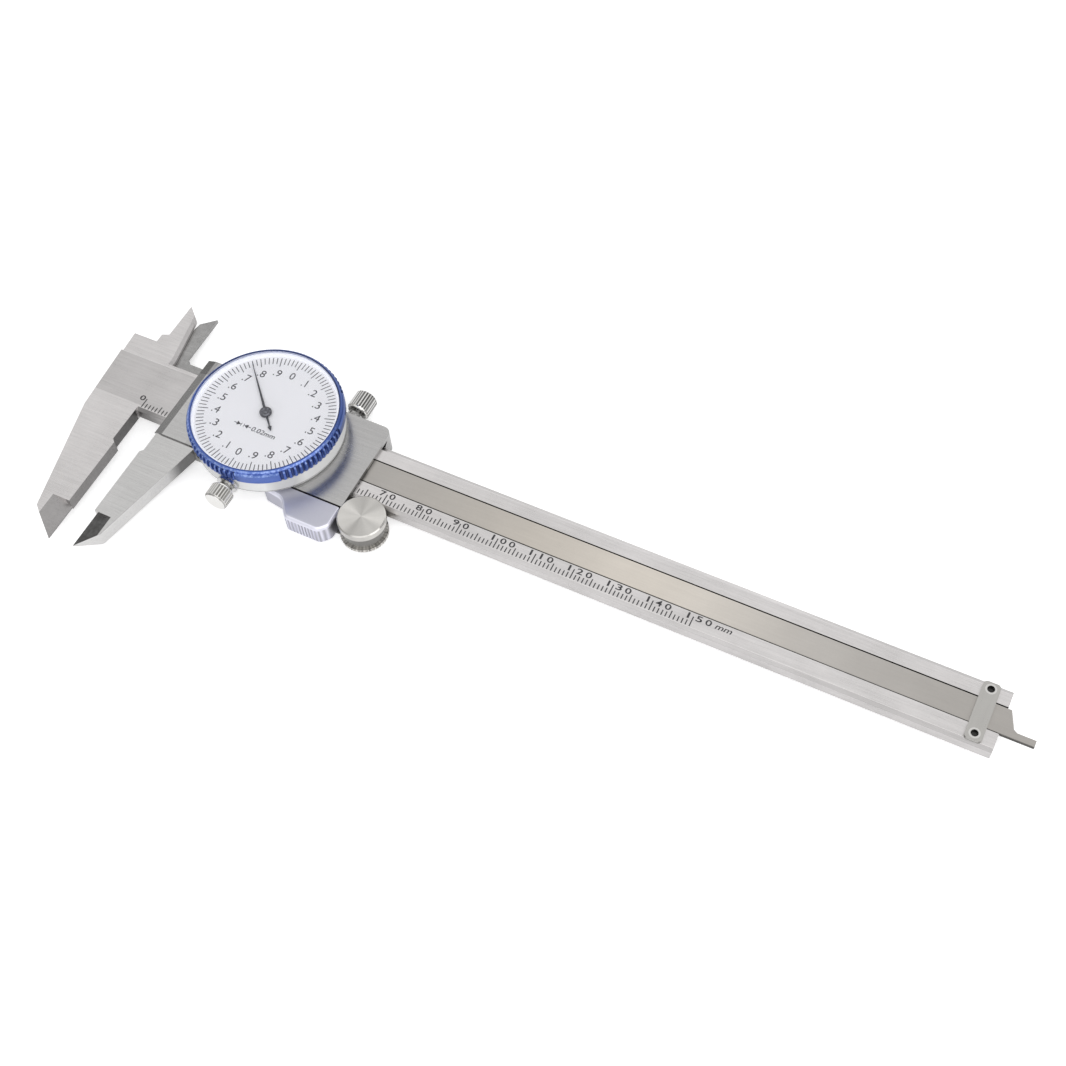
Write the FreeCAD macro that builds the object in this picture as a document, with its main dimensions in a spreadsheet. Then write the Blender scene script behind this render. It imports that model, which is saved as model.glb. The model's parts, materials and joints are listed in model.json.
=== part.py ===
import FreeCAD, Part
import math
import os

import Sketcher
from FreeCAD import Placement, Rotation, Vector

# Dial caliper, 0 to 150 mm, two millimetres to each turn of the pointer.
# Frame: origin on the dial's axis, in the plane that the slider's back rests on,
# +X along the beam to its free end, +Y to the inside jaws, +Z out of the dial.
# Inside a piece, Z is counted from the beam's front face. A piece of the beam counts
# X from the fixed jaw's measuring face, and a piece of the slider from the dial's axis.

SIZES = (
    ("opening", 7.76, "gap between the outside jaws as the caliper lies"),
    ("face_to_axis", 26.8, "moving jaw's measuring face to the dial's axis"),
    ("slide_gap", 0.05, "sliding clearance between beam and slider"),
    ("beam_reach", 220.8, "fixed jaw's face to the beam's free end"),
    ("beam_width", 16.0, "beam across its two sliding edges"),
    ("beam_thickness", 3.7, "beam, front to back"),
    ("upper_bevel", 1.2, "width of the bevel along the beam's upper front edge"),
    ("lower_bevel", 0.9, "width of the bevel along the beam's lower front edge"),
    ("bevel_drop", 0.7, "depth of the beam's front bevels"),
    ("back_bevel", 0.3, "bevel along the beam's back edges"),
    ("channel_start", 10.4, "fixed jaw's face to the closed end of the channel"),
    ("channel_width", 7.0, "channel for rack and depth bar"),
    ("channel_shift", 0.2, "channel's middle above the beam's middle"),
    ("channel_depth", 2.6, "channel below the front face"),
    ("jaw_length", 40.2, "outside jaw tip below the beam's lower edge"),
    ("head_width", 14.0, "fixed jaw at its shoulder"),
    ("head_shoulder", 12.0, "beam's middle down to the fixed jaw's shoulder"),
    ("head_lean", 1.4, "how far the head's outer side leans out up to the step"),
    ("head_cover", 2.0, "how far the head's flat front runs past the measuring face"),
    ("jaw_end_width", 6.6, "fixed jaw where its end is cut off"),
    ("jaw_end_rise", 5.6, "jaw tip up to the outer corner of its end"),
    ("relief_depth", 0.9, "relief above the measuring faces"),
    ("relief_end", 10.2, "beam's lower edge down to the relief's end"),
    ("relief_ramp", 0.8, "slope at the relief's end"),
    ("knife_length", 9.9, "thinned length at the outside jaw tips"),
    ("knife_width", 4.8, "width of the ground facets at the tips"),
    ("knife_land", 0.5, "edge thickness left at the tips"),
    ("knife_drop", 2.7, "ground edge of the fixed jaw below its front"),
    ("inside_reach", 19.0, "inside jaw tip above the beam's upper edge"),
    ("inside_zero", 7.2, "inside measuring edges left of the outside faces"),
    ("inside_step", 0.8, "fixed inside jaw's front below the beam's front"),
    ("step_slope", 0.45, "width of the slope at the step across the head"),
    ("inside_thickness", 1.1, "thickness of the moving inside jaw"),
    ("inside_split", 0.1, "gap between the two inside jaws"),
    ("inside_point_width", 3.5, "width of the slanted inside jaw end"),
    ("inside_point_drop", 3.2, "fall of the slanted inside jaw end"),
    ("inside_foot_width", 6.0, "inside jaw at its foot"),
    ("inside_foot_rise", 2.0, "inside jaw's foot above the beam's edge"),
    ("inside_bevel", 0.8, "bevel on the fixed inside jaw's flank"),
    ("base_rise", 5.1, "head's upper side above the beam's edge"),
    ("base_step", 2.5, "height of the step beside the fixed inside jaw"),
    ("base_step_width", 1.8, "width of the step beside the fixed inside jaw"),
    ("step_line", 6.6, "beam's middle up to the step across the head"),
    ("plate_thickness", 1.0, "slider's front plate"),
    ("slider_low", 12.5, "beam's middle down to the slider's lower side"),
    ("slider_high", 12.7, "beam's middle up to the slider's upper side"),
    ("slider_right", 27.5, "dial's axis to the slider's right end"),
    ("rail_setback", 0.4, "slider's rails behind the moving jaw's face"),
    ("reading_bevel", 2.4, "width of the bevelled reading edge"),
    ("corner_round", 2.2, "slider's upper right corner"),
    ("rail_flare", 0.6, "flare at the right mouth of the rails"),
    ("relief_width", 1.8, "corner relief at the upper rail's mouth, into the rail"),
    ("relief_drop", 1.6, "corner relief, below the plate"),
    ("relief_length", 2.0, "corner relief, along the rail"),
    ("jaw_proud", 0.6, "moving jaw's front above the beam's front"),
    ("jaw_back", 3.4, "moving jaw's back below the beam's front"),
    ("moving_end_width", 5.3, "moving jaw where its end is cut off"),
    ("moving_end_rise", 4.6, "moving jaw tip up to the outer corner"),
    ("moving_root_width", 12.1, "moving jaw at the slider's lower side"),
    ("arm_rise", 3.3, "moving inside jaw's arm above the beam's edge"),
    ("gib_thickness", 0.45, "gib strip"),
    ("gib_length", 49.0, "gib strip's length"),
    ("gib_depth", 3.0, "gib strip, front to back"),
    ("gib_screw_radius", 0.9, "gib adjusting screws"),
    ("gib_screw_span", 19.0, "each gib screw from the dial's axis"),
    ("back_thickness", 1.6, "slider's back plate"),
    ("back_screw_x", 22.5, "back plate screws from the dial's axis"),
    ("back_screw_y", 10.4, "back plate screws from the beam's middle"),
    ("back_screw_radius", 0.8, "back plate screws"),
    ("back_head_radius", 1.7, "countersunk heads of the back plate screws"),
    ("back_screw_length", 3.4, "back plate screws, head to end"),
    ("depth_bar_gap", 0.25, "gap at each side of the depth bar"),
    ("depth_bar_sink", 0.15, "depth bar's front below the beam's front"),
    ("depth_bar_thickness", 1.0, "depth bar"),
    ("depth_bar_start", 16.2, "dial's axis to the depth bar's left end"),
    ("blade_width", 1.65, "depth blade at the tip"),
    ("blade_length", 4.3, "straight depth blade behind the tip"),
    ("blade_slope", 2.6, "length of the slope behind the blade"),
    ("bar_screw_radius", 0.9, "depth bar screws"),
    ("bar_screw_head", 1.6, "heads of the depth bar screws"),
    ("bar_screw_left", 13.8, "left depth bar screw left of the dial's axis"),
    ("bar_screw_right", 4.5, "right depth bar screw right of the dial's axis"),
    ("rack_pitch", 0.625, "rack pitch, sixteen teeth to ten millimetres"),
    ("rack_height", 1.2, "rack, front to back"),
    ("rack_start", 13.6, "fixed jaw's face to the rack's first tooth"),
    ("rack_teeth", 254, "teeth on the rack"),
    ("pinion_teeth", 16, "teeth on the rack pinion"),
    ("gear_gap", 0.35, "large gears' teeth from the inside of the dial case"),
    ("drive_teeth", 100, "teeth on each large gear"),
    ("centre_teeth", 20, "teeth on the centre pinion"),
    ("gear_thickness", 0.5, "each large gear"),
    ("gear_level", 2.5, "lower gear's underside above the beam's front"),
    ("spring_space", 0.35, "space between the two large gears"),
    ("spring_opening", 1.6, "opening of the spring between the gears"),
    ("bore_gap", 0.04, "running clearance of the arbors"),
    ("pinion_shaft", 0.9, "rack pinion's shaft radius"),
    ("pivot_radius", 0.55, "upper pivots and centre arbor"),
    ("hub_radius", 2.2, "hub that carries the large gears"),
    ("bush_wall", 1.1, "wall of the bearing bushes"),
    ("case_radius", 18.85, "dial case"),
    ("case_wall", 1.85, "wall of the dial case"),
    ("case_floor", 0.8, "floor of the dial case"),
    ("case_height", 4.1, "dial case's silver wall"),
    ("spigot_wall", 0.9, "wall of the spigot that carries the bezel"),
    ("spigot_height", 1.8, "height of the spigot"),
    ("case_round", 0.4, "rounding of the case's lower edge"),
    ("bezel_overhang", 0.15, "bezel past the dial case"),
    ("bezel_height", 4.4, "bezel ring"),
    ("bezel_gap", 0.08, "running clearance of the bezel"),
    ("bezel_wall", 0.8, "bezel's wall beside the crystal"),
    ("bezel_round", 0.35, "bevel at the bezel's top edge"),
    ("bezel_rim", 0.6, "smooth rim above the bezel's notches"),
    ("notch_width", 0.9, "width of the bezel's notches at the outside"),
    ("notch_floor", 0.3, "width of the bezel's notches at their floor"),
    ("notch_depth", 0.45, "depth of the bezel's notches"),
    ("notch_step", 4.2, "angle from notch to notch"),
    ("notch_row", 14, "notches in each row"),
    ("notch_rows", 4, "rows of notches round the bezel"),
    ("notch_turn", 42.7, "angle of the first notch"),
    ("ledge_width", 1.0, "ledge under the dial face"),
    ("ledge_thickness", 0.45, "thickness of that ledge"),
    ("retainer_wire", 0.2, "bezel retaining ring's wire radius"),
    ("retainer_opening", 3.0, "opening of the bezel retaining ring"),
    ("face_thickness", 0.4, "dial face"),
    ("face_level", 7.5, "dial face's underside above the beam's front"),
    ("face_hole", 1.2, "hole in the dial face"),
    ("seat_gap", 0.03, "fitting gap of glass and dial face"),
    ("rehaut_width", 0.45, "white ring between dial face and crystal"),
    ("crystal_thickness", 0.6, "crystal"),
    ("crystal_sink", 0.05, "crystal's top below the bezel's top"),
    ("hand_gap", 2.0, "pointer's tip to the bezel's opening"),
    ("hand_tail", 6.0, "pointer's tail from the axis"),
    ("hand_width", 0.7, "pointer beside its hub"),
    ("hand_tip_width", 0.12, "pointer's tip"),
    ("hand_thickness", 0.15, "pointer"),
    ("hand_level", 8.2, "pointer's underside above the beam's front"),
    ("hand_hub", 1.5, "pointer's hub radius"),
    ("hand_hub_height", 0.4, "pointer's hub"),
    ("hand_angle", 43.5, "pointer left of upright as the caliper lies"),
    ("tail_arrow", 1.0, "width of the arrow at the pointer's tail"),
    ("bridge_level", 4.6, "movement bridge's underside above the beam's front"),
    ("bridge_thickness", 1.0, "movement bridge"),
    ("bridge_width", 5.0, "arms of the movement bridge"),
    ("post_radius", 1.5, "posts under the bridge"),
    ("side_post_inset", 5.8, "inside of the dial case to the level of the side posts"),
    ("front_post_inset", 8.4, "inside of the dial case to the front post"),
    ("post_screw_head", 1.2, "bridge screws' heads"),
    ("post_screw_height", 0.6, "height of the bridge screws' heads"),
    ("rest_left", 5.0, "thumb rest's left end from the dial's axis"),
    ("rest_right", 27.4, "thumb rest's right end from the dial's axis"),
    ("rest_neck_depth", 3.8, "depth of the thumb rest's neck"),
    ("rest_depth", 8.2, "depth of the thumb rest"),
    ("rest_neck_end", 12.6, "where the neck bends down"),
    ("rest_belly_start", 16.2, "where the full depth begins"),
    ("rest_belly_end", 25.4, "where the full depth ends"),
    ("rest_corner_rise", 2.3, "rise of the thumb rest's right corner"),
    ("rest_neck_round", 2.4, "hollow where the neck bends down"),
    ("rest_belly_round", 1.6, "roundings of the thumb rest's neck and belly"),
    ("rest_corner_round", 2.3, "roundings of the thumb rest's right corner"),
    ("rest_top", 0.9, "thumb rest's front above the beam's front"),
    ("rest_lift", 0.15, "thumb rest's back above the back plate's tab"),
    ("rest_seam", 0.35, "seam between plate and thumb rest"),
    ("rest_bevel", 1.0, "rounding of the thumb rest's front"),
    ("rib_pitch", 0.8, "spacing of the thumb rest's grip grooves"),
    ("rib_depth", 0.25, "depth of the grip grooves"),
    ("rib_count", 12, "grip grooves"),
    ("rest_pin_radius", 0.8, "pins that hold the thumb rest"),
    ("rest_pin_length", 5.0, "length of those pins"),
    ("rest_pin_inset", 2.4, "pins from the ends of neck and belly"),
    ("wheel_x", 33.6, "thumb wheel's axis from the dial's axis"),
    ("wheel_y", 13.4, "thumb wheel's axis below the beam's middle"),
    ("wheel_radius", 5.95, "thumb wheel's flanges"),
    ("wheel_top", 2.1, "thumb wheel's top above the beam's front"),
    ("wheel_clearance", 0.12, "thumb wheel's flanges from the beam's faces"),
    ("wheel_flange", 0.95, "thumb wheel's lower flange"),
    ("wheel_bevel", 0.3, "bevel of the wheel's top"),
    ("wheel_knurls", 60, "knurls round the wheel"),
    ("wheel_knurl_depth", 0.16, "depth of the wheel's knurls"),
    ("axle_radius", 1.5, "thumb wheel's axle"),
    ("axle_top", 0.6, "axle's top above the beam's front"),
    ("tab_thickness", 0.5, "back plate's tab under the wheel"),
    ("tab_width", 6.0, "width of the tab"),
    ("lock_x", 15.5, "lock screw from the dial's axis"),
    ("lock_level", 1.75, "lock screw's axis below the beam's front"),
    ("knob_radius", 3.0, "knurled knobs"),
    ("lock_knob_length", 5.5, "lock screw's knob"),
    ("clamp_knob_length", 4.3, "bezel clamp's knob"),
    ("knob_bevel", 0.4, "bevel of the knobs' ends"),
    ("knob_foot", 0.6, "plain foot under the knurls"),
    ("knurl_count", 24, "knurls round a knob"),
    ("knurl_depth", 0.3, "depth of the knobs' knurls"),
    ("thread_radius", 1.2, "lock screw's thread"),
    ("collar_radius", 2.0, "lock screw's collar"),
    ("collar_length", 1.5, "lock screw's collar"),
    ("neck_radius", 1.3, "necks of the knobs"),
    ("neck_length", 0.8, "neck of the lock screw"),
    ("clamp_level", 3.1, "bezel clamp's axis above the beam's front"),
    ("clamp_thread", 1.0, "bezel clamp's thread"),
    ("clamp_thread_length", 1.4, "bezel clamp's thread in the case"),
    ("clamp_collar_radius", 1.7, "bezel clamp's collar"),
    ("clamp_collar_length", 0.3, "bezel clamp's collar"),
    ("clamp_neck_length", 0.75, "neck of the bezel clamp"),
    ("washer_radius", 2.7, "bezel clamp's washer"),
    ("washer_thickness", 0.8, "bezel clamp's washer"),
    ("washer_gap", 0.06, "washer from the bezel"),
    ("stop_inset", 4.8, "beam's free end to the end stop's middle"),
    ("stop_width", 4.0, "end stop plate"),
    ("stop_length", 15.0, "end stop plate"),
    ("stop_thickness", 1.0, "end stop plate"),
    ("stop_corner", 1.0, "rounded corners of the end stop plate"),
    ("stop_screw_span", 5.8, "end stop screws from the beam's middle"),
    ("stop_screw_radius", 0.8, "end stop screws"),
    ("stop_head_radius", 1.3, "heads of the end stop screws"),
    ("stop_screw_length", 3.0, "end stop screws, head to end"),
    ("slot_width", 0.45, "screwdriver slots"),
    ("slot_depth", 0.35, "depth of the screwdriver slots"),
    ("hex_radius", 0.85, "hexagon sockets in the small screws"),
    ("hex_depth", 0.6, "depth of those sockets"),
)

doc = FreeCAD.newDocument("dial_caliper")
sheet = doc.addObject("Spreadsheet::Sheet", "Sizes")
for row, (alias, number, note) in enumerate(SIZES, start=1):
    sheet.set(f"A{row}", note)
    sheet.set(f"B{row}", str(number))
    sheet.setAlias(f"B{row}", alias)
doc.recompute()


class Length:
    """A number together with the sheet expression that gives it."""

    def __init__(self, number, text):
        self.number = float(number)
        self.text = text

    def joined(self, other, sign, swapped=False):
        first, second = (as_length(other), self) if swapped else (self, as_length(other))
        number = {
            "+": lambda a, b: a + b,
            "-": lambda a, b: a - b,
            "*": lambda a, b: a * b,
            "/": lambda a, b: a / b,
        }[sign](first.number, second.number)
        return Length(number, f"({first.text} {sign} {second.text})")

    def __add__(self, other):
        return self.joined(other, "+")

    def __radd__(self, other):
        return self.joined(other, "+", swapped=True)

    def __sub__(self, other):
        return self.joined(other, "-")

    def __rsub__(self, other):
        return self.joined(other, "-", swapped=True)

    def __mul__(self, other):
        return self.joined(other, "*")

    def __rmul__(self, other):
        return self.joined(other, "*", swapped=True)

    def __truediv__(self, other):
        return self.joined(other, "/")

    def __neg__(self):
        return Length(-self.number, f"(0 - {self.text})")


def as_length(item):
    return item if isinstance(item, Length) else Length(item, repr(float(item)))


def sine(degrees):
    degrees = as_length(degrees)
    return Length(math.sin(math.radians(degrees.number)), f"sin({degrees.text} * 1deg)")


def cosine(degrees):
    degrees = as_length(degrees)
    return Length(math.cos(math.radians(degrees.number)), f"cos({degrees.text} * 1deg)")


class Sheet:
    """The sheet's cells by name."""


size = Sheet()
for alias, _, _ in SIZES:
    setattr(size, alias, Length(float(sheet.get(alias)), f"Sizes.{alias}"))

# Places that several pieces share

case_bore = size.case_radius - size.case_wall
bezel_radius = size.case_radius + size.bezel_overhang
bezel_opening = bezel_radius - size.bezel_wall
gear_reach = (size.drive_teeth + 2) / (size.drive_teeth + size.centre_teeth)
centre_distance = (case_bore - size.gear_gap) / (gear_reach + 1)
post_span = case_bore - size.side_post_inset
post_reach = case_bore - size.front_post_inset
spring_radius = centre_distance / 2
hand_length = bezel_opening - size.hand_gap
stop_x = size.beam_reach - size.stop_inset
front_level = size.back_thickness + size.slide_gap + size.beam_thickness
jaw_face_x = -(size.face_to_axis + size.opening)
half_width = size.beam_width / 2
tip_y = -(half_width + size.jaw_length)
inside_tip_y = half_width + size.inside_reach
plate_top = size.slide_gap + size.plate_thickness
rail_inner = half_width + size.slide_gap
slider_left = size.face_to_axis - size.rail_setback
slider_back = size.beam_thickness + size.slide_gap
channel_low = size.channel_shift - size.channel_width / 2
channel_high = size.channel_shift + size.channel_width / 2
bar_low = channel_low + size.depth_bar_gap
bar_high = channel_high - size.depth_bar_gap
bar_end = size.beam_reach - size.face_to_axis
rack_module = size.rack_pitch / math.pi
pinion_pitch_radius = rack_module * size.pinion_teeth / 2
gear_module = 2 * centre_distance / (size.drive_teeth + size.centre_teeth)
case_bottom = plate_top
case_floor_top = case_bottom + size.case_floor
case_top = case_bottom + size.case_height
spigot_radius = case_bore + size.spigot_wall
spigot_top = case_top + size.spigot_height
bezel_bottom = case_top + size.slide_gap
bezel_top = bezel_bottom + size.bezel_height
bezel_bore = spigot_radius + size.bezel_gap
ledge_bottom = size.face_level - size.ledge_thickness
face_radius = bezel_opening - size.seat_gap
wheel_contact = size.wheel_y - half_width
washer_inner = bezel_radius + size.washer_gap
rest_back = front_level - size.tab_thickness - size.rest_lift
BEAM = (jaw_face_x, as_length(0), front_level)
SLIDER = (as_length(0), as_length(0), front_level)
parts = []


def bind(item, path, value):
    """Bind one property of an object to the sheet."""
    item.setExpression(path, as_length(value).text)


def place(item, base, rotation=None):
    """Set a piece's placement, with its base bound to the sheet."""
    base = [as_length(value) for value in base]
    item.Placement = Placement(Vector(*[value.number for value in base]), rotation or Rotation())
    for axis, value in zip("xyz", base):
        bind(item, f"Placement.Base.{axis}", value)


def new_body(label, base, rotation=None):
    """Start a piece: a body with its label and its place."""
    body = doc.addObject("PartDesign::Body", label)
    body.Label = label
    place(body, base, rotation)
    parts.append(body)
    return body


def origin_of(body, role):
    return next(item for item in body.Origin.OriginFeatures if item.Role == role)


def new_sketch(body, name, plane="XY_Plane", level=0):
    """A sketch on one of the body's own planes, moved along that plane's normal."""
    sketch = body.newObject("Sketcher::SketchObject", f"{body.Name}_{name}")
    sketch.AttachmentSupport = [(origin_of(body, plane), "")]
    sketch.MapMode = "FlatFace"
    bind(sketch, "AttachmentOffset.Base.z", level)
    return sketch


def pin_point(sketch, geometry, end, x, y):
    """Hold a point of the sketch at two bound coordinates."""
    for kind, value in (("DistanceX", x), ("DistanceY", y)):
        value = as_length(value)
        index = sketch.addConstraint(Sketcher.Constraint(kind, geometry, end, value.number))
        bind(sketch, f"Constraints[{index}]", value)


def add_outline(sketch, corners):
    """A closed outline of straight sides."""
    corners = [(as_length(x), as_length(y)) for x, y in corners]
    points = [Vector(x.number, y.number, 0) for x, y in corners]
    first = sketch.GeometryCount
    for start, end in zip(points, points[1:] + points[:1]):
        sketch.addGeometry(Part.LineSegment(start, end), False)
    for index, (x, y) in enumerate(corners):
        following = first + (index + 1) % len(corners)
        sketch.addConstraint(Sketcher.Constraint("Coincident", first + index, 2, following, 1))
        pin_point(sketch, first + index, 1, x, y)
    return sketch


def add_circle(sketch, x, y, radius):
    x, y, radius = as_length(x), as_length(y), as_length(radius)
    circle = Part.Circle(Vector(x.number, y.number, 0), Vector(0, 0, 1), radius.number)
    geometry = sketch.addGeometry(circle, False)
    pin_point(sketch, geometry, 3, x, y)
    index = sketch.addConstraint(Sketcher.Constraint("Radius", geometry, radius.number))
    bind(sketch, f"Constraints[{index}]", radius)
    return sketch


def pad(body, sketch, length):
    feature = body.newObject("PartDesign::Pad", f"{sketch.Name}_pad")
    feature.Profile = sketch
    bind(feature, "Length", length)
    return feature


def cut(body, sketch, length):
    """Cut along the sketch's normal for a length."""
    feature = body.newObject("PartDesign::Pocket", f"{sketch.Name}_cut")
    feature.Profile = sketch
    feature.Reversed = True
    bind(feature, "Length", length)
    return feature


def raise_outline(body, name, corners, low, high):
    """A plate of an outline seen from the front, from one level to another."""
    sketch = add_outline(new_sketch(body, name, level=low), corners)
    return pad(body, sketch, as_length(high) - low)


def drop_outline(body, name, corners, low, high):
    """Remove an outline seen from the front, from one level to another."""
    sketch = add_outline(new_sketch(body, name, level=low), corners)
    return cut(body, sketch, as_length(high) - low)


def raise_disc(body, name, x, y, radius, low, high):
    sketch = add_circle(new_sketch(body, name, level=low), x, y, radius)
    return pad(body, sketch, as_length(high) - low)


def drill(body, name, places, radius, low, high):
    """Round holes seen from the front, from one level to another."""
    sketch = new_sketch(body, name, level=low)
    for x, y in places:
        add_circle(sketch, x, y, radius)
    return cut(body, sketch, as_length(high) - low)


def rectangle(left, right, low, high):
    return ((left, low), (right, low), (right, high), (left, high))


def turn(body, name, corners):
    """A turned piece from its half section of radius and height."""
    sketch = add_outline(new_sketch(body, name, "XZ_Plane"), corners)
    feature = body.newObject("PartDesign::Revolution", f"{sketch.Name}_turn")
    feature.Profile = sketch
    feature.ReferenceAxis = (sketch, ["V_Axis"])
    feature.Angle = 360
    return feature


def repeat_round(body, feature, count):
    """Repeat a cut round the body's own Z axis."""
    doc.recompute()
    pattern = body.newObject("PartDesign::PolarPattern", f"{feature.Name}_round")
    pattern.Originals = [feature]
    pattern.Axis = (origin_of(body, "Z_Axis"), [""])
    pattern.Angle = 360
    bind(pattern, "Occurrences", count)
    body.Tip = pattern
    return pattern


def repeat_along(body, feature, length, count):
    """Repeat a cut along the body's own X axis."""
    doc.recompute()
    pattern = body.newObject("PartDesign::LinearPattern", f"{feature.Name}_row")
    pattern.Originals = [feature]
    pattern.Direction = (origin_of(body, "X_Axis"), [""])
    bind(pattern, "Length", length)
    bind(pattern, "Occurrences", count)
    body.Tip = pattern
    return pattern


def edges_at(body, wanted):
    """Names of the edges of the body's last feature for which a test holds."""
    doc.recompute()
    return [f"Edge{i}" for i, edge in enumerate(body.Tip.Shape.Edges, 1) if wanted(edge)]


def upright_at(x, y):
    """A test for an edge along Z at a place seen from the front."""
    spot = Vector(as_length(x).number, as_length(y).number, 0)

    def wanted(edge):
        ends = [vertex.Point for vertex in edge.Vertexes]
        return len(ends) == 2 and all(
            math.hypot(end.x - spot.x, end.y - spot.y) < 0.01 for end in ends
        ) and abs(ends[0].z - ends[1].z) > 0.05
    return wanted


def level_at(level):
    """A test for an edge that lies at one level."""
    level = as_length(level).number
    return lambda edge: all(abs(vertex.Point.z - level) < 0.001 for vertex in edge.Vertexes)


def dress(body, kind, name, edges, amount):
    """Round or bevel edges of the body's last feature."""
    base = body.Tip
    feature = body.newObject(f"PartDesign::{kind}", f"{body.Name}_{name}")
    feature.Base = (base, edges)
    bind(feature, "Radius" if kind == "Fillet" else "Size", amount)
    body.Tip = feature
    return feature


def knurled(body, name, radius, depth, low, high, count):
    """Sharp grooves along a turned piece, all the way round."""
    sketch = add_outline(new_sketch(body, name, level=low), (
        (radius - depth, 0),
        (radius + depth, -(depth * 2)),
        (radius + depth, depth * 2),
    ))
    return repeat_round(body, cut(body, sketch, as_length(high) - low), count)


def plain_part(label, shape, base, rotation=None):
    """A piece whose shape is worked out here from the sheet's values."""
    item = doc.addObject("Part::Feature", label)
    item.Label = label
    item.Shape = shape
    place(item, base, rotation)
    parts.append(item)
    return item


def lathe(corners):
    """A turned solid from a half section of radius and height."""
    points = [Vector(as_length(r).number, 0, as_length(z).number) for r, z in corners]
    face = Part.Face(Part.makePolygon(points + points[:1]))
    return face.revolve(Vector(0, 0, 0), Vector(0, 0, 1), 360)


def square_ring(radius, half, level):
    """A ring of square wire round the Z axis."""
    return lathe(((radius - half, level - half), (radius + half, level - half),
                  (radius + half, level + half), (radius - half, level + half)))


def opened(ring, radius, half, level, width):
    """A wire ring with an opening at its right."""
    radius, half, level, width = [as_length(item).number for item in (radius, half, level, width)]
    cutter = Part.makeBox(4 * half, width, 4 * half,
                          Vector(radius - 2 * half, -width / 2, level - 2 * half))
    return ring.cut(cutter)


def hexagon(radius, low, high):
    points = [Vector(radius * math.cos(a * math.pi / 3), radius * math.sin(a * math.pi / 3), low)
              for a in range(6)]
    return Part.Face(Part.makePolygon(points + points[:1])).extrude(Vector(0, 0, high - low))


def screw_slot(radius, low):
    """The cutter of a screwdriver slot across a head, from a level upwards."""
    width = size.slot_width.number
    reach = radius.number + width
    return Part.makeBox(2 * reach, width, 2 * width, Vector(-reach, -width / 2, low))


def copies(shape, places):
    """The same solid at several places, as a group of separate solids."""
    group = []
    for x, y in places:
        item = shape.copy()
        item.translate(Vector(as_length(x).number, as_length(y).number, 0))
        group.append(item)
    return Part.makeCompound(group)


def make_beam():
    """The beam with its fixed outside and inside jaws, in one piece."""
    body = new_body("beam", BEAM)
    back = -size.beam_thickness
    section = new_sketch(body, "section", "YZ_Plane", -size.head_width)
    add_outline(section, (
        (-half_width + size.back_bevel, back),
        (half_width - size.back_bevel, back),
        (half_width, back + size.back_bevel),
        (half_width, -size.bevel_drop),
        (half_width - size.upper_bevel, 0),
        (-half_width + size.lower_bevel, 0),
        (-half_width, -size.bevel_drop),
        (-half_width, back + size.back_bevel),
    ))
    pad(body, section, size.head_width + size.beam_reach)
    lean_left = -(size.head_width + size.head_lean)
    relief_y = -(half_width + size.relief_end)
    raise_outline(body, "head", (
        (-size.relief_depth, -size.step_line),
        (-size.relief_depth, relief_y),
        (0, relief_y - size.relief_ramp),
        (0, tip_y),
        (-size.jaw_end_width, tip_y + size.jaw_end_rise),
        (-size.head_width, -size.head_shoulder),
        (lean_left, size.step_line),
        (size.head_cover, size.step_line),
        (size.head_cover, -size.step_line),
    ), back, 0)
    step = new_sketch(body, "step", "YZ_Plane", lean_left - 1)
    add_outline(step, (
        (size.step_line, 0),
        (size.step_line + size.step_slope, -size.inside_step),
        (half_width + 1, -size.inside_step),
        (half_width + 1, 1),
        (size.step_line, 1),
    ))
    cut(body, step, size.head_cover - lean_left + 1)
    base_y = half_width + size.base_rise
    edge_x = -size.inside_zero
    foot_x = edge_x + size.inside_foot_width
    jaw_front = -size.inside_step
    jaw_back = size.inside_thickness + size.inside_split - size.beam_thickness
    flank = ((edge_x + size.inside_point_width, inside_tip_y - size.inside_point_drop),
             (foot_x, half_width + size.inside_foot_rise))
    raise_outline(body, "inside_jaw", (
        (lean_left, size.step_line),
        (lean_left - size.head_lean / 3, base_y),
        (edge_x - size.base_step_width, base_y),
        (edge_x - size.base_step_width, base_y + size.base_step),
        (edge_x, base_y + size.base_step + size.relief_ramp),
        (edge_x, inside_tip_y),
        flank[0],
        flank[1],
        (foot_x, size.step_line),
    ), jaw_back, jaw_front)
    level = level_at(jaw_front)
    low_x, low_y = foot_x.number - size.inside_point_width.number, half_width.number
    edges = edges_at(body, lambda edge: (
        level(edge) and edge.CenterOfMass.x > low_x and edge.CenterOfMass.x < foot_x.number + 0.01
        and low_y < edge.CenterOfMass.y < flank[0][1].number))
    dress(body, "Chamfer", "flank_bevel", edges, size.inside_bevel)
    for name, low, high in (
            ("front_facet", -size.knife_drop, as_length(0)),
            ("back_facet", -(size.knife_drop + size.knife_land), back)):
        sketch = new_sketch(body, name, "XZ_Plane", -(tip_y - 1))
        add_outline(sketch, ((-size.knife_width, high), (0, low), (1, low), (1, high)))
        feature = cut(body, sketch, size.knife_length + 1)
        feature.Reversed = False
    drop_outline(body, "channel", rectangle(
        size.channel_start, size.beam_reach + 1, channel_low, channel_high),
        -size.channel_depth, 1)
    drill(body, "stop_holes",
          [(stop_x, size.stop_screw_span), (stop_x, -size.stop_screw_span)],
          size.stop_screw_radius,
          size.stop_thickness - size.stop_screw_length, 1)
    return body


def tooth_points(module, count, along):
    """Four corners of each tooth: along gives a point for a place and a height."""
    root, tip = -1.25 * module, module
    points = []
    for index in range(count):
        for offset, height in ((-0.33, root), (-0.14, tip), (0.14, tip), (0.33, root)):
            points.append(along(index + offset, height))
    return points


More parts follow.
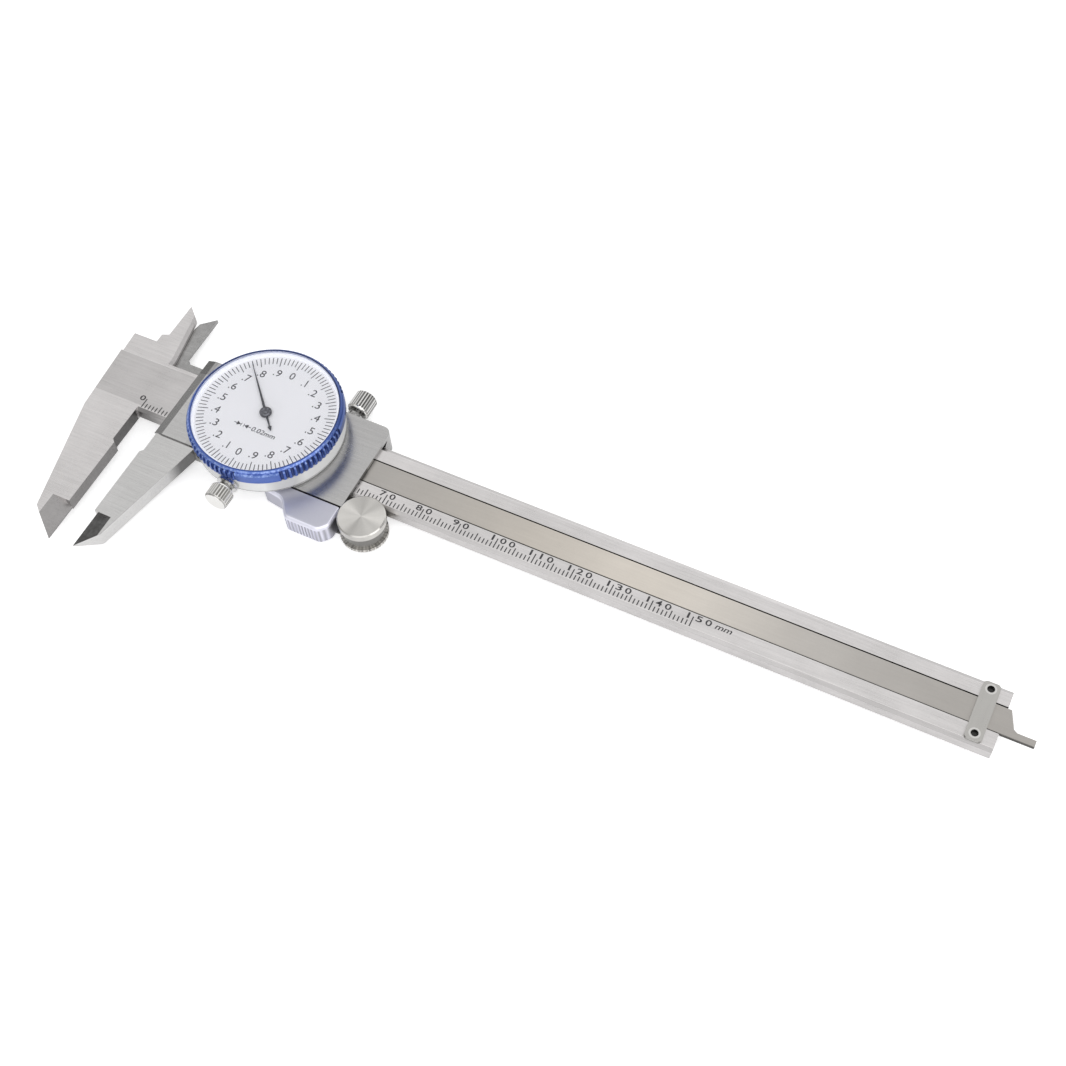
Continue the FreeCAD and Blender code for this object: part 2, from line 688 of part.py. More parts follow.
def make_rack():
    """The rack on the channel's floor, teeth towards the pinion."""
    module = rack_module.number
    pitch_y = pinion_pitch_radius.number
    pitch = size.rack_pitch.number
    # a gap of the rack faces the pinion's first tooth as the caliper lies
    pinion_x = size.opening.number + size.face_to_axis.number - centre_distance.number
    first = round((size.rack_start.number - pinion_x) / pitch - 0.5) + 0.5
    count = int(size.rack_teeth.number)
    points = tooth_points(module, count, lambda place_, height: Vector(
        pinion_x + (first + place_) * pitch, pitch_y - height, 0))
    wall = channel_high.number
    left = points[0].x - pitch
    right = points[-1].x + pitch
    root_y = points[0].y
    points = [Vector(left, root_y, 0)] + points + [
        Vector(right, root_y, 0), Vector(right, wall, 0), Vector(left, wall, 0)]
    face = Part.Face(Part.makePolygon(points + points[:1]))
    shape = face.extrude(Vector(0, 0, size.rack_height.number))
    base = (jaw_face_x, as_length(0), front_level - size.channel_depth)
    return plain_part("rack", shape, base)


def make_end_stop():
    """The stop plate across the beam's end and its two screws."""
    body = new_body("end_stop_plate", BEAM)
    half = size.stop_width / 2
    end = size.stop_length / 2
    raise_outline(body, "plate", rectangle(
        stop_x - half, stop_x + half, -end, end), 0, size.stop_thickness)
    uprights = []
    for x in (stop_x - half, stop_x + half):
        for y in (-end, end):
            uprights += edges_at(body, upright_at(x, y))
    dress(body, "Fillet", "corners", uprights, size.stop_corner)
    places = [(stop_x, size.stop_screw_span), (stop_x, -size.stop_screw_span)]
    drill(body, "screw_holes", places, size.stop_screw_radius, -1, size.stop_thickness + 1)
    drill(body, "head_seats", places, size.stop_head_radius,
          size.stop_thickness / 2, size.stop_thickness + 1)
    top = size.stop_thickness.number
    screw = lathe((
        (0, top - size.stop_screw_length.number),
        (size.stop_screw_radius, top - size.stop_screw_length.number),
        (size.stop_screw_radius, top / 2),
        (size.stop_head_radius, top / 2),
        (size.stop_head_radius, top),
        (0, top),
    ))
    socket = hexagon(size.hex_radius.number, top - size.hex_depth.number, top + 1)
    plain_part("end_stop_screws", copies(screw.cut(socket), places), BEAM)


def make_slider_frame():
    """The slider: front plate, two rails, moving outside and inside jaws."""
    body = new_body("slider_frame", SLIDER)
    face_x = -size.face_to_axis
    rail_x = -slider_left
    raise_outline(body, "plate", rectangle(
        face_x, size.slider_right, -size.slider_low, size.slider_high),
        size.slide_gap, plate_top)
    middle = size.slide_gap + size.plate_thickness / 2
    raise_outline(body, "lower_rail", rectangle(
        rail_x, size.slider_right, -size.slider_low, -rail_inner), -slider_back, middle)
    raise_outline(body, "upper_rail", rectangle(
        rail_x, size.slider_right, rail_inner + size.gib_thickness, size.slider_high),
        -slider_back, middle)
    gib_left = -size.gib_length / 2
    raise_outline(body, "upper_rail_left", rectangle(
        rail_x, gib_left, rail_inner, size.slider_high), -slider_back, middle)
    raise_outline(body, "upper_rail_right", rectangle(
        size.gib_length / 2, size.slider_right, rail_inner, size.slider_high),
        -slider_back, middle)
    bevel = new_sketch(body, "reading_edge", "XZ_Plane", -(size.slider_high + 1))
    add_outline(bevel, (
        (face_x - 1, size.slide_gap + 0.1),
        (face_x, size.slide_gap + 0.1),
        (face_x + size.reading_bevel, plate_top),
        (face_x + size.reading_bevel, plate_top + 1),
        (face_x - 1, plate_top + 1),
    ))
    cut(body, bevel, size.slider_low + size.slider_high + 2)
    relief_x = face_x + size.relief_depth * 0.85
    relief_y = -(half_width + size.relief_end)
    raise_outline(body, "outside_jaw", (
        (relief_x, -size.slider_low),
        (relief_x, relief_y),
        (face_x, relief_y - size.relief_ramp),
        (face_x, tip_y),
        (face_x + size.moving_end_width, tip_y + size.moving_end_rise),
        (face_x + size.moving_root_width, -size.slider_low),
    ), -size.jaw_back, size.jaw_proud)
    jaw_middle = (size.jaw_proud - size.jaw_back) / 2
    for name, low, high in (
            ("front_facet", jaw_middle + size.knife_land / 2, size.jaw_proud),
            ("back_facet", jaw_middle - size.knife_land / 2, -size.jaw_back)):
        sketch = new_sketch(body, name, "XZ_Plane", -(tip_y - 1))
        add_outline(sketch, (
            (face_x + size.knife_width, high), (face_x, low), (face_x - 1, low), (face_x - 1, high)))
        feature = cut(body, sketch, size.knife_length + 1)
        feature.Reversed = False
    edge_x = face_x - size.inside_zero
    arm_y = half_width + size.arm_rise
    raise_outline(body, "inside_jaw", (
        (edge_x - size.inside_foot_width, rail_inner),
        (edge_x - size.inside_foot_width, half_width + size.inside_foot_rise),
        (edge_x - size.inside_point_width, inside_tip_y - size.inside_point_drop),
        (edge_x, inside_tip_y),
        (edge_x, arm_y + 2 * size.relief_ramp),
        (edge_x + size.relief_ramp, arm_y + size.relief_ramp),
        (edge_x + size.relief_ramp, arm_y),
        (rail_x, arm_y),
        (rail_x, rail_inner),
    ), -size.beam_thickness, -(size.beam_thickness - size.inside_thickness))
    drill(body, "pinion_hole", [(-centre_distance, 0)],
          size.pinion_shaft + size.bore_gap + size.bush_wall, -1, plate_top + 1)
    bar_screws = [(-size.bar_screw_left, size.channel_shift), (size.bar_screw_right, size.channel_shift)]
    drill(body, "bar_screw_holes", bar_screws, size.bar_screw_radius, -1, plate_top + 1)
    drill(body, "bar_screw_seats", bar_screws, size.bar_screw_head, middle, plate_top + 1)
    drill(body, "back_screw_holes", back_screw_places(), size.back_screw_radius,
          -slider_back - 1, size.back_screw_length - size.back_thickness - slider_back)
    lock = new_sketch(body, "lock_bore", "XZ_Plane", -(size.slider_high + 1))
    add_circle(lock, size.lock_x, -size.lock_level, size.thread_radius + size.bore_gap)
    cut(body, lock, size.slider_high + 1 - rail_inner)
    gib_bores = new_sketch(body, "gib_screw_bores", "XZ_Plane", -(size.slider_high + 1))
    for x in (-size.gib_screw_span, size.gib_screw_span):
        add_circle(gib_bores, x, -size.lock_level, size.gib_screw_radius)
    cut(body, gib_bores, size.slider_high + 1 - rail_inner)
    rest_pins = new_sketch(body, "rest_pin_bores", "XZ_Plane", size.slider_low - size.rest_pin_length / 2)
    for x in rest_pin_places():
        add_circle(rest_pins, x, rest_pin_level(), size.rest_pin_radius)
    cut(body, rest_pins, size.rest_pin_length)
    for name, y, side in (("upper_flare", rail_inner, 1), ("lower_flare", -rail_inner, -1)):
        drop_outline(body, name, (
            (size.slider_right + 1, y - side),
            (size.slider_right - size.rail_flare, y - side),
            (size.slider_right - size.rail_flare, y),
            (size.slider_right + 1, y + side * (size.rail_flare + 1)),
        ), -slider_back - 1, size.slide_gap)
    relief = new_sketch(body, "mouth_relief", "YZ_Plane", size.slider_right - size.relief_length)
    add_outline(relief, (
        (rail_inner - 0.5, size.slide_gap),
        (rail_inner - 0.5, -size.relief_drop),
        (rail_inner, -size.relief_drop),
        (rail_inner + size.relief_width, size.slide_gap),
    ))
    cut(body, relief, size.relief_length + 1)
    corners = edges_at(body, upright_at(size.slider_right, size.slider_high))
    dress(body, "Fillet", "corner", corners, size.corner_round)
    return body


def back_screw_places():
    x, y = size.back_screw_x, size.back_screw_y
    return [(-x, -y), (x, -y), (x, y), (-x, y)]


def rest_pin_places():
    return [size.rest_neck_end + size.rest_pin_inset, size.rest_belly_end - size.rest_pin_inset * 2]


def rest_pin_level():
    return (size.rest_top - rest_back) / 2


def make_back_plate():
    """The slider's back plate, its tab for the thumb wheel, and its screws."""
    body = new_body("back_plate", SLIDER)
    low = -front_level
    high = -slider_back
    raise_outline(body, "plate", rectangle(
        -slider_left, size.slider_right, -size.slider_low, size.slider_high), low, high)
    half_tab = size.tab_width / 2
    tab_top = low + size.tab_thickness
    raise_outline(body, "tab", rectangle(
        size.slider_right - size.tab_width, size.wheel_x,
        -(size.wheel_y + half_tab), -(size.wheel_y - half_tab)), low, tab_top)
    raise_disc(body, "tab_end", size.wheel_x, -size.wheel_y, half_tab, low, tab_top)
    drill(body, "axle_hole", [(size.wheel_x, -size.wheel_y)], size.axle_radius, low - 1, tab_top + 1)
    drill(body, "screw_holes", back_screw_places(), size.back_screw_radius, low - 1, high + 1)
    drill(body, "head_seats", back_screw_places(), size.back_head_radius,
          low - 1, low + size.back_thickness / 2)
    corners = edges_at(body, upright_at(size.slider_right, size.slider_high))
    dress(body, "Fillet", "corner", corners, size.corner_round)
    base = low.number
    screw = lathe((
        (0, base),
        (size.back_head_radius, base),
        (size.back_head_radius, base + size.back_thickness.number / 2),
        (size.back_screw_radius, base + size.back_thickness.number / 2),
        (size.back_screw_radius, base + size.back_screw_length.number),
        (0, base + size.back_screw_length.number),
    ))
    slot = screw_slot(size.back_head_radius,
                      base + size.slot_depth.number - 2 * size.slot_width.number)
    plain_part("back_plate_screws", copies(screw.cut(slot), back_screw_places()), SLIDER)


def make_gib():
    """The gib strip behind the beam's upper edge and its two adjusting screws."""
    body = new_body("gib_strip", SLIDER)
    half = size.gib_length / 2 - 2 * size.slide_gap
    middle = -(slider_back / 2)
    raise_outline(body, "strip", rectangle(
        -half, half, rail_inner, rail_inner + size.gib_thickness),
        middle - size.gib_depth / 2, middle + size.gib_depth / 2)
    inner = (rail_inner + size.gib_thickness).number
    outer = size.slider_high.number - 0.4
    radius = size.gib_screw_radius.number
    screw = Part.makeCylinder(radius, outer - inner, Vector(0, inner, 0), Vector(0, 1, 0))
    slot = screw_slot(size.gib_screw_radius, 0)
    slot.rotate(Vector(0, 0, 0), Vector(1, 0, 0), -90)
    slot.translate(Vector(0, outer - size.slot_depth.number, 0))
    screws = copies(screw.cut(slot), [(-size.gib_screw_span, 0), (size.gib_screw_span, 0)])
    plain_part("gib_screws", screws, (as_length(0), as_length(0), front_level - size.lock_level))


def make_depth_bar():
    """The depth bar that covers the rack, with its blade and its two screws."""
    body = new_body("depth_bar", SLIDER)
    front = -size.depth_bar_sink
    back = front - size.depth_bar_thickness
    blade_y = bar_low + size.blade_width
    shoulder = bar_end - size.opening
    bar_tip = bar_end
    slope_end = bar_tip - size.blade_length
    slope_start = slope_end - size.blade_slope
    raise_outline(body, "bar", (
        (-size.depth_bar_start, bar_low),
        (bar_tip, bar_low),
        (bar_tip, blade_y),
        (slope_end, blade_y),
        (slope_end - size.blade_slope / 3, blade_y + size.blade_width / 3),
        (slope_start, bar_high),
        (-size.depth_bar_start, bar_high),
    ), back, front)
    drill(body, "pinion_hole", [(-centre_distance, 0)],
          pinion_pitch_radius + rack_module + 2 * size.depth_bar_gap, back - 1, front + 1)
    places = [(-size.bar_screw_left, size.channel_shift), (size.bar_screw_right, size.channel_shift)]
    drill(body, "screw_holes", places, size.bar_screw_radius, back - 1, front + 1)
    middle = (size.slide_gap + size.plate_thickness / 2).number
    top = plate_top.number
    screw = lathe((
        (0, back),
        (size.bar_screw_radius, back),
        (size.bar_screw_radius, middle),
        (size.bar_screw_head, middle),
        (size.bar_screw_head, top),
        (0, top),
    ))
    collar = lathe((
        (size.bar_screw_radius, front), (size.bar_screw_head, front),
        (size.bar_screw_head, size.slide_gap), (size.bar_screw_radius, size.slide_gap)))
    slot = screw_slot(size.bar_screw_head, top - size.slot_depth.number)
    plain_part("depth_bar_screws", copies(screw.cut(slot), places), SLIDER)
    plain_part("depth_bar_spacers", copies(collar, places), SLIDER)


def make_dial_case():
    """The silver case on the plate, with the spigot that the bezel turns on."""
    body = new_body("dial_case", SLIDER)
    groove = size.retainer_wire + size.seat_gap
    groove_z = case_top + size.spigot_height / 2
    turn(body, "section", (
        (0, case_bottom),
        (size.case_radius - size.case_round, case_bottom),
        (size.case_radius, case_bottom + size.case_round),
        (size.case_radius, case_top),
        (spigot_radius, case_top),
        (spigot_radius, groove_z - groove),
        (spigot_radius - groove, groove_z - groove),
        (spigot_radius - groove, groove_z + groove),
        (spigot_radius, groove_z + groove),
        (spigot_radius, spigot_top),
        (case_bore, spigot_top),
        (case_bore, case_floor_top),
        (0, case_floor_top),
    ))
    wall = size.bore_gap + size.bush_wall
    drill(body, "pinion_bush_hole", [(-centre_distance, 0)],
          size.pinion_shaft + wall, case_bottom - 1, case_floor_top + 1)
    drill(body, "centre_bush_hole", [(0, 0)], size.pivot_radius + wall,
          case_bottom - 1, case_floor_top + 1)
    bore = new_sketch(body, "clamp_bore", "XZ_Plane", case_bore - 1)
    add_circle(bore, 0, size.clamp_level, size.clamp_thread + size.bore_gap)
    cut(body, bore, size.case_radius - case_bore + 2)
    return body


def make_bearings():
    """The bushes of the two arbors, below in the case and above in the bridge."""
    gap, wall = size.bore_gap.number, size.bush_wall.number
    low = size.slide_gap.number
    floor = case_floor_top.number
    pivot = size.pivot_radius.number + gap
    shaft = size.pinion_shaft.number + gap
    bridge_low = size.bridge_level.number
    bridge_high = bridge_low + size.bridge_thickness.number
    distance = -centre_distance.number

    def bush(inner, bottom, top, x):
        ring = lathe(((inner, bottom), (inner + wall, bottom), (inner + wall, top), (inner, top)))
        ring.translate(Vector(x, 0, 0))
        return ring

    lower = [bush(shaft, low, floor, distance), bush(pivot, plate_top.number, floor, 0)]
    upper = [bush(pivot, bridge_low, bridge_high, distance), bush(pivot, bridge_low, bridge_high, 0)]
    plain_part("case_bushes", Part.makeCompound(lower), SLIDER)
    plain_part("bridge_bushes", Part.makeCompound(upper), SLIDER)


def post_places():
    return [(-centre_distance, post_span), (-centre_distance, -post_span),
            (post_reach, as_length(0))]


def make_bridge():
    """The movement bridge on its three posts."""
    body = new_body("movement_bridge", SLIDER)
    half = size.bridge_width / 2
    low = size.bridge_level
    high = low + size.bridge_thickness
    raise_outline(body, "cross_arm", rectangle(
        -centre_distance - half, -centre_distance + half,
        -post_span, post_span), low, high)
    raise_outline(body, "long_arm", rectangle(
        -centre_distance, post_reach, -half, half), low, high)
    for index, (x, y) in enumerate(post_places()):
        raise_disc(body, f"end_{index}", x, y, half, low, high)
    radius = size.pivot_radius + size.bore_gap + size.bush_wall
    drill(body, "bush_holes", [(-centre_distance, 0), (0, 0)], radius, low - 1, high + 1)
    drill(body, "screw_holes", post_places(), size.post_radius / 2, low - 1, high + 1)
    radius = size.post_radius.number
    bottom = case_floor_top.number
    post = Part.makeCylinder(radius, low.number - bottom, Vector(0, 0, bottom))
    hole = Part.makeCylinder(radius / 2, 1.5, Vector(0, 0, low.number - 1.5))
    plain_part("bridge_posts", copies(post.cut(hole), post_places()), SLIDER)
    top = high.number + size.post_screw_height.number
    screw = lathe((
        (0, low.number - 1.4), (radius / 2, low.number - 1.4), (radius / 2, high),
        (size.post_screw_head, high), (size.post_screw_head, top), (0, top)))
    slot = screw_slot(size.post_screw_head, top - size.slot_depth.number)
    plain_part("bridge_screws", copies(screw.cut(slot), post_places()), SLIDER)


def make_thumb_rest():
    """The grip under the slider and the two pins that hold it."""
    body = new_body("thumb_rest", SLIDER)
    top_y = -size.slider_low
    neck_y = top_y - size.rest_neck_depth
    low_y = top_y - size.rest_depth
    corners = (
        (size.rest_left, top_y),
        (size.rest_left + 2, neck_y + 0.8),
        (size.rest_neck_end, neck_y),
        (size.rest_belly_start - 1.4, low_y + 1.6),
        (size.rest_belly_start, low_y),
        (size.rest_belly_end, low_y),
        (size.rest_right, low_y + size.rest_corner_rise),
        (size.rest_right, top_y),
    )
    raise_outline(body, "grip", corners, -rest_back, size.rest_top)
    necks = edges_at(body, upright_at(*corners[2]))
    dress(body, "Fillet", "neck_round", necks, size.rest_neck_round)
    for name, chosen, radius in (
            ("belly_round", (corners[1], corners[4]), size.rest_belly_round),
            ("corner_round", (corners[5], corners[6]), size.rest_corner_round)):
        uprights = []
        for corner in chosen:
            uprights += edges_at(body, upright_at(*corner))
        dress(body, "Fillet", name, uprights, radius)
    drop_outline(body, "seam", rectangle(
        size.rest_left - 1, size.rest_right + 1, top_y - size.rest_seam, top_y + 1),
        size.rest_top - 1.6, size.rest_top + 1)
    seam_y = (top_y - size.rest_seam).number
    top = level_at(size.rest_top)
    rim = edges_at(body, lambda edge: top(edge) and edge.CenterOfMass.y < seam_y - 0.01)
    dress(body, "Fillet", "rim", rim, size.rest_bevel)
    groove = add_outline(new_sketch(body, "groove", level=-rest_back - 1), (
        (size.rest_belly_start - size.rib_depth, low_y - size.rib_depth),
        (size.rest_belly_start + size.rib_depth, low_y - size.rib_depth),
        (size.rest_belly_start, low_y + size.rib_depth),
    ))
    ribs = cut(body, groove, rest_back + size.rest_top + 1 - size.rest_bevel)
    repeat_along(body, ribs, size.rib_pitch * (size.rib_count - 1), size.rib_count)
    bores = new_sketch(body, "pin_bores", "XZ_Plane", size.slider_low - size.rest_pin_length / 2)
    for x in rest_pin_places():
        add_circle(bores, x, rest_pin_level(), size.rest_pin_radius)
    cut(body, bores, size.rest_pin_length)
    start = -(size.slider_low.number - size.rest_pin_length.number / 2)
    pin = Part.makeCylinder(size.rest_pin_radius.number, size.rest_pin_length.number,
                            Vector(0, start, rest_pin_level().number), Vector(0, -1, 0))
    plain_part("thumb_rest_pins", copies(pin, [(x, 0) for x in rest_pin_places()]), SLIDER)


def make_thumb_wheel():
    """The thumb wheel that straddles the beam's lower edge, and its axle."""
    base = (size.wheel_x, -size.wheel_y, front_level)
    body = new_body("thumb_wheel", base)
    groove = wheel_contact - size.slide_gap
    upper = size.wheel_clearance
    lower = -(size.beam_thickness + size.wheel_clearance)
    bottom = lower - size.wheel_flange
    bore = size.axle_radius + size.bore_gap
    bore_top = size.axle_top + size.wheel_clearance
    turn(body, "section", (
        (0, bore_top),
        (bore, bore_top),
        (bore, bottom),
        (size.wheel_radius, bottom),
        (size.wheel_radius, lower),
        (groove, lower),
        (groove, upper),
        (size.wheel_radius, upper),
        (size.wheel_radius, size.wheel_top - size.wheel_bevel),
        (size.wheel_radius - size.wheel_bevel, size.wheel_top),
        (0, size.wheel_top),
    ))
    knurled(body, "knurl", size.wheel_radius, size.wheel_knurl_depth,
            bottom - 1, lower + 0.01, size.wheel_knurls)
    axle = new_body("wheel_axle", base)
    raise_disc(axle, "pin", 0, 0, size.axle_radius, -front_level, size.axle_top)


def make_knob(label, base, rotation, thread, thread_length, collar, collar_length, neck_length,
              length):
    """A knurled screw along its own Z axis, with Z 0 where its collar begins."""
    body = new_body(label, base, rotation)
    neck_top = collar_length + neck_length
    foot = size.knob_radius - size.knob_bevel
    top = neck_top + length
    turn(body, "section", (
        (0, -thread_length),
        (thread, -thread_length),
        (thread, 0),
        (collar, 0),
        (collar, collar_length),
        (size.neck_radius, collar_length),
        (size.neck_radius, neck_top),
        (foot - 0.2, neck_top),
        (foot, neck_top + 0.2),
        (foot, neck_top + size.knob_foot),
        (size.knob_radius, neck_top + size.knob_foot),
        (size.knob_radius, top - size.knob_bevel),
        (size.knob_radius - size.knob_bevel, top),
        (0, top),
    ))
    knurled(body, "knurl", size.knob_radius, size.knurl_depth,
            neck_top + size.knob_foot / 2, top - size.knob_bevel, size.knurl_count)
    return body


def make_screws():
    """The lock screw over the gib and the bezel clamp below the dial."""
    gap = size.washer_gap
    make_knob(
        "lock_screw", (size.lock_x, size.slider_high + gap, front_level - size.lock_level),
        Rotation(Vector(1, 0, 0), -90), size.thread_radius,
        size.slider_high - rail_inner - size.gib_thickness,
        size.collar_radius, size.collar_length, size.neck_length, size.lock_knob_length)
    make_knob(
        "bezel_clamp_screw",
        (0, -(washer_inner + size.washer_thickness), front_level + size.clamp_level),
        Rotation(Vector(1, 0, 0), 90), size.clamp_thread,
        size.clamp_thread_length + size.washer_thickness + gap,
        size.clamp_collar_radius, size.clamp_collar_length, size.clamp_neck_length,
        size.clamp_knob_length)
    washer = new_body(
        "clamp_washer", (0, -washer_inner, front_level + size.clamp_level),
        Rotation(Vector(1, 0, 0), 90))
    turn(washer, "section", (
        (size.clamp_thread, 0),
        (size.washer_radius, 0),
        (size.washer_radius, size.washer_thickness),
        (size.clamp_thread, size.washer_thickness),
    ))


def make_bezel():
    """The bezel ring with its notches, the crystal and the dial face."""
    body = new_body("bezel_ring", SLIDER)
    groove = size.retainer_wire + size.seat_gap
    groove_z = case_top + size.spigot_height / 2
    turn(body, "section", (
        (bezel_bore, bezel_bottom),
        (bezel_radius, bezel_bottom),
        (bezel_radius, bezel_top - size.bezel_round),
        (bezel_radius - size.bezel_round, bezel_top),
        (bezel_opening, bezel_top),
        (bezel_opening, size.face_level),
        (bezel_opening - size.ledge_width, size.face_level),
        (bezel_opening - size.ledge_width, ledge_bottom),
        (bezel_bore, ledge_bottom),
        (bezel_bore, groove_z + groove),
        (bezel_bore + groove, groove_z + groove),
        (bezel_bore + groove, groove_z - groove),
        (bezel_bore, groove_z - groove),
    ))
    notch = new_sketch(body, "notches", level=bezel_bottom - 1)
    floor = bezel_radius - size.notch_depth
    outside = bezel_radius + size.notch_depth
    mouth = size.notch_width - size.notch_floor / 2
    for index in range(int(size.notch_row.number)):
        turned = size.notch_turn + size.notch_step * index
        along, across = cosine(turned), sine(turned)
        add_outline(notch, [
            (reach * along - side * across, reach * across + side * along)
            for reach, side in (
                (floor, -size.notch_floor / 2), (outside, -mouth),
                (outside, mouth), (floor, size.notch_floor / 2))])
    repeat_round(body, cut(body, notch, size.bezel_height + 1 - size.bezel_rim), size.notch_rows)
    crystal = new_body("crystal", SLIDER)
    top = bezel_top - size.crystal_sink
    raise_disc(crystal, "glass", 0, 0, face_radius, top - size.crystal_thickness, top)
    rehaut = new_body("crystal_seat", SLIDER)
    turn(rehaut, "section", (
        (face_radius - size.rehaut_width, size.face_level + size.face_thickness),
        (face_radius, size.face_level + size.face_thickness),
        (face_radius, top - size.crystal_thickness),
        (face_radius - size.rehaut_width, top - size.crystal_thickness),
    ))
    face = new_body("dial_face", SLIDER)
    raise_disc(face, "disc", 0, 0, face_radius, size.face_level, size.face_level + size.face_thickness)
    drill(face, "hole", [(0, 0)], size.face_hole, size.face_level - 1, size.face_level + 1)
    mid = (spigot_radius + bezel_bore) / 2
    ring = square_ring(mid, size.retainer_wire, groove_z)
    plain_part("bezel_retaining_ring",
               opened(ring, mid, size.retainer_wire, groove_z, size.retainer_opening), SLIDER)


def make_hand():
    """The pointer on its hub, with a small arrow at its tail."""
    body = new_body("pointer_hand", SLIDER, Rotation(Vector(0, 0, 1), size.hand_angle.number))
    level = size.hand_level
    half = size.hand_width / 2
    tip = size.hand_tip_width / 2
    arrow = size.tail_arrow / 2
    raise_outline(body, "blade", (
        (-half, 0),
        (-half / 2, -(size.hand_tail - size.tail_arrow * 1.6)),
        (-arrow, -(size.hand_tail - size.tail_arrow * 1.4)),
        (0, -size.hand_tail),
        (arrow, -(size.hand_tail - size.tail_arrow * 1.4)),
        (half / 2, -(size.hand_tail - size.tail_arrow * 1.6)),
        (half, 0),
        (tip, hand_length),
        (-tip, hand_length),
    ), level, level + size.hand_thickness)
    raise_disc(body, "hub", 0, 0, size.hand_hub, level, level + size.hand_hub_height)
    drill(body, "bore", [(0, 0)], size.pivot_radius, level - 1, level + size.hand_hub_height / 2)


def gear_face(module, count, turned):
    """A straight-flanked toothed outline, the first tooth's middle turned by an angle."""
    radius = module * count / 2

    def along(place_, height):
        angle = 2 * math.pi * place_ / count + turned
        return Vector((radius + height) * math.cos(angle), (radius + height) * math.sin(angle), 0)

    points = tooth_points(module, count, along)
    return Part.Face(Part.makePolygon(points + points[:1]))


def toothed(module, count, low, high, bore, turned):
    face = gear_face(module, count, turned)
    solid = face.extrude(Vector(0, 0, high - low))
    solid.translate(Vector(0, 0, low))
    if bore:
        solid = solid.cut(Part.makeCylinder(bore, high - low + 2, Vector(0, 0, low - 1)))
    return solid


def make_train():
    """Rack pinion, its two large gears with the scissor spring, and the centre arbor."""
    rack_m = rack_module.number
    gear_m = gear_module.number
    low = size.gear_level.number
    thickness = size.gear_thickness.number
    upper_low = low + thickness + size.spring_space.number
    upper_high = upper_low + thickness
    hub = size.hub_radius.number
    shaft = size.pinion_shaft.number
    pivot = size.pivot_radius.number
    floor = case_floor_top.number
    pinion_low = -size.channel_depth.number + 0.1
    pinion_high = pinion_low + size.rack_height.number
    bridge_high = size.bridge_level.number + size.bridge_thickness.number
    axis = (-centre_distance, as_length(0), front_level)
    # a pinion tooth points along +Y into the rack, a gear tooth along +X to the centre
    shaft_solid = lathe((
        (0, pinion_high), (shaft, pinion_high), (shaft, floor + 0.1), (hub, floor + 0.1),
        (hub, low), (hub - 1, low), (hub - 1, upper_high), (pivot, upper_high),
        (pivot, bridge_high + 0.2), (0, bridge_high + 0.2)))
    teeth = toothed(rack_m, int(size.pinion_teeth.number), pinion_low, pinion_high, 0, math.pi / 2)
    plain_part("rack_pinion_arbor", shaft_solid.fuse(teeth).removeSplitter(), axis)
    drive = int(size.drive_teeth.number)
    plain_part("drive_gear", toothed(gear_m, drive, low, low + thickness, hub - 1, 0), axis)
    plain_part("antibacklash_gear",
               toothed(gear_m, drive, upper_low, upper_high, hub - 1, 0), axis)
    wire = size.spring_space / 2
    middle = low + thickness + wire.number
    ring = square_ring(spring_radius, wire, middle)
    plain_part("scissor_spring",
               opened(ring, spring_radius, wire, middle, size.spring_opening), axis)
    centre = int(size.centre_teeth.number)
    centre_low = low - 0.2
    centre_high = upper_high + 0.2
    arbor = lathe((
        (0, plate_top + size.slide_gap), (pivot, plate_top + size.slide_gap),
        (pivot, centre_low), (pivot * 1.6, centre_low),
        (pivot * 1.6, centre_high), (pivot, centre_high),
        (pivot, size.hand_level + size.hand_hub_height / 2),
        (0, size.hand_level + size.hand_hub_height / 2)))
    half_tooth = math.pi / centre
    pinion = toothed(gear_m, centre, centre_low, centre_high, 0, half_tooth)
    plain_part("centre_arbor", arbor.fuse(pinion).removeSplitter(), SLIDER)


make_beam()
make_rack()
make_end_stop()
make_slider_frame()
make_back_plate()
make_gib()
make_depth_bar()
make_dial_case()
make_bearings()
make_bridge()
make_thumb_rest()
make_thumb_wheel()
make_screws()
make_bezel()
make_hand()
make_train()
doc.recompute()

for item in doc.Objects:
    if "Invalid" in item.State or "Error" in item.State:
        raise RuntimeError(f"{item.Name} did not build: {item.State}")
os.makedirs("parts", exist_ok=True)
for item in parts:
    if item.Shape.isNull() or not item.Shape.isValid() or not item.Shape.Solids:
        raise RuntimeError(f"{item.Label} has no sound solid")
for item in parts:
    item.Shape.exportStep(f"parts/{item.Label}.step")
    print(f"{item.Label}: {len(item.Shape.Solids)} solids, {item.Shape.Volume:.2f} mm3")
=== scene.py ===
"""Looks of a dial caliper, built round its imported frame.

Lengths inside the classes are in millimetres, in the caliper's own frame: the dial's axis
stands at x 0 and y 0, and the bench is at z 0. A mesh is brought to metres as it is made.
"""

import json
import logging
import math
from dataclasses import dataclass
from enum import Enum
from typing import Any, Dict, List, Optional, Sequence, Tuple, Union

import bpy
from mathutils import Matrix, Vector

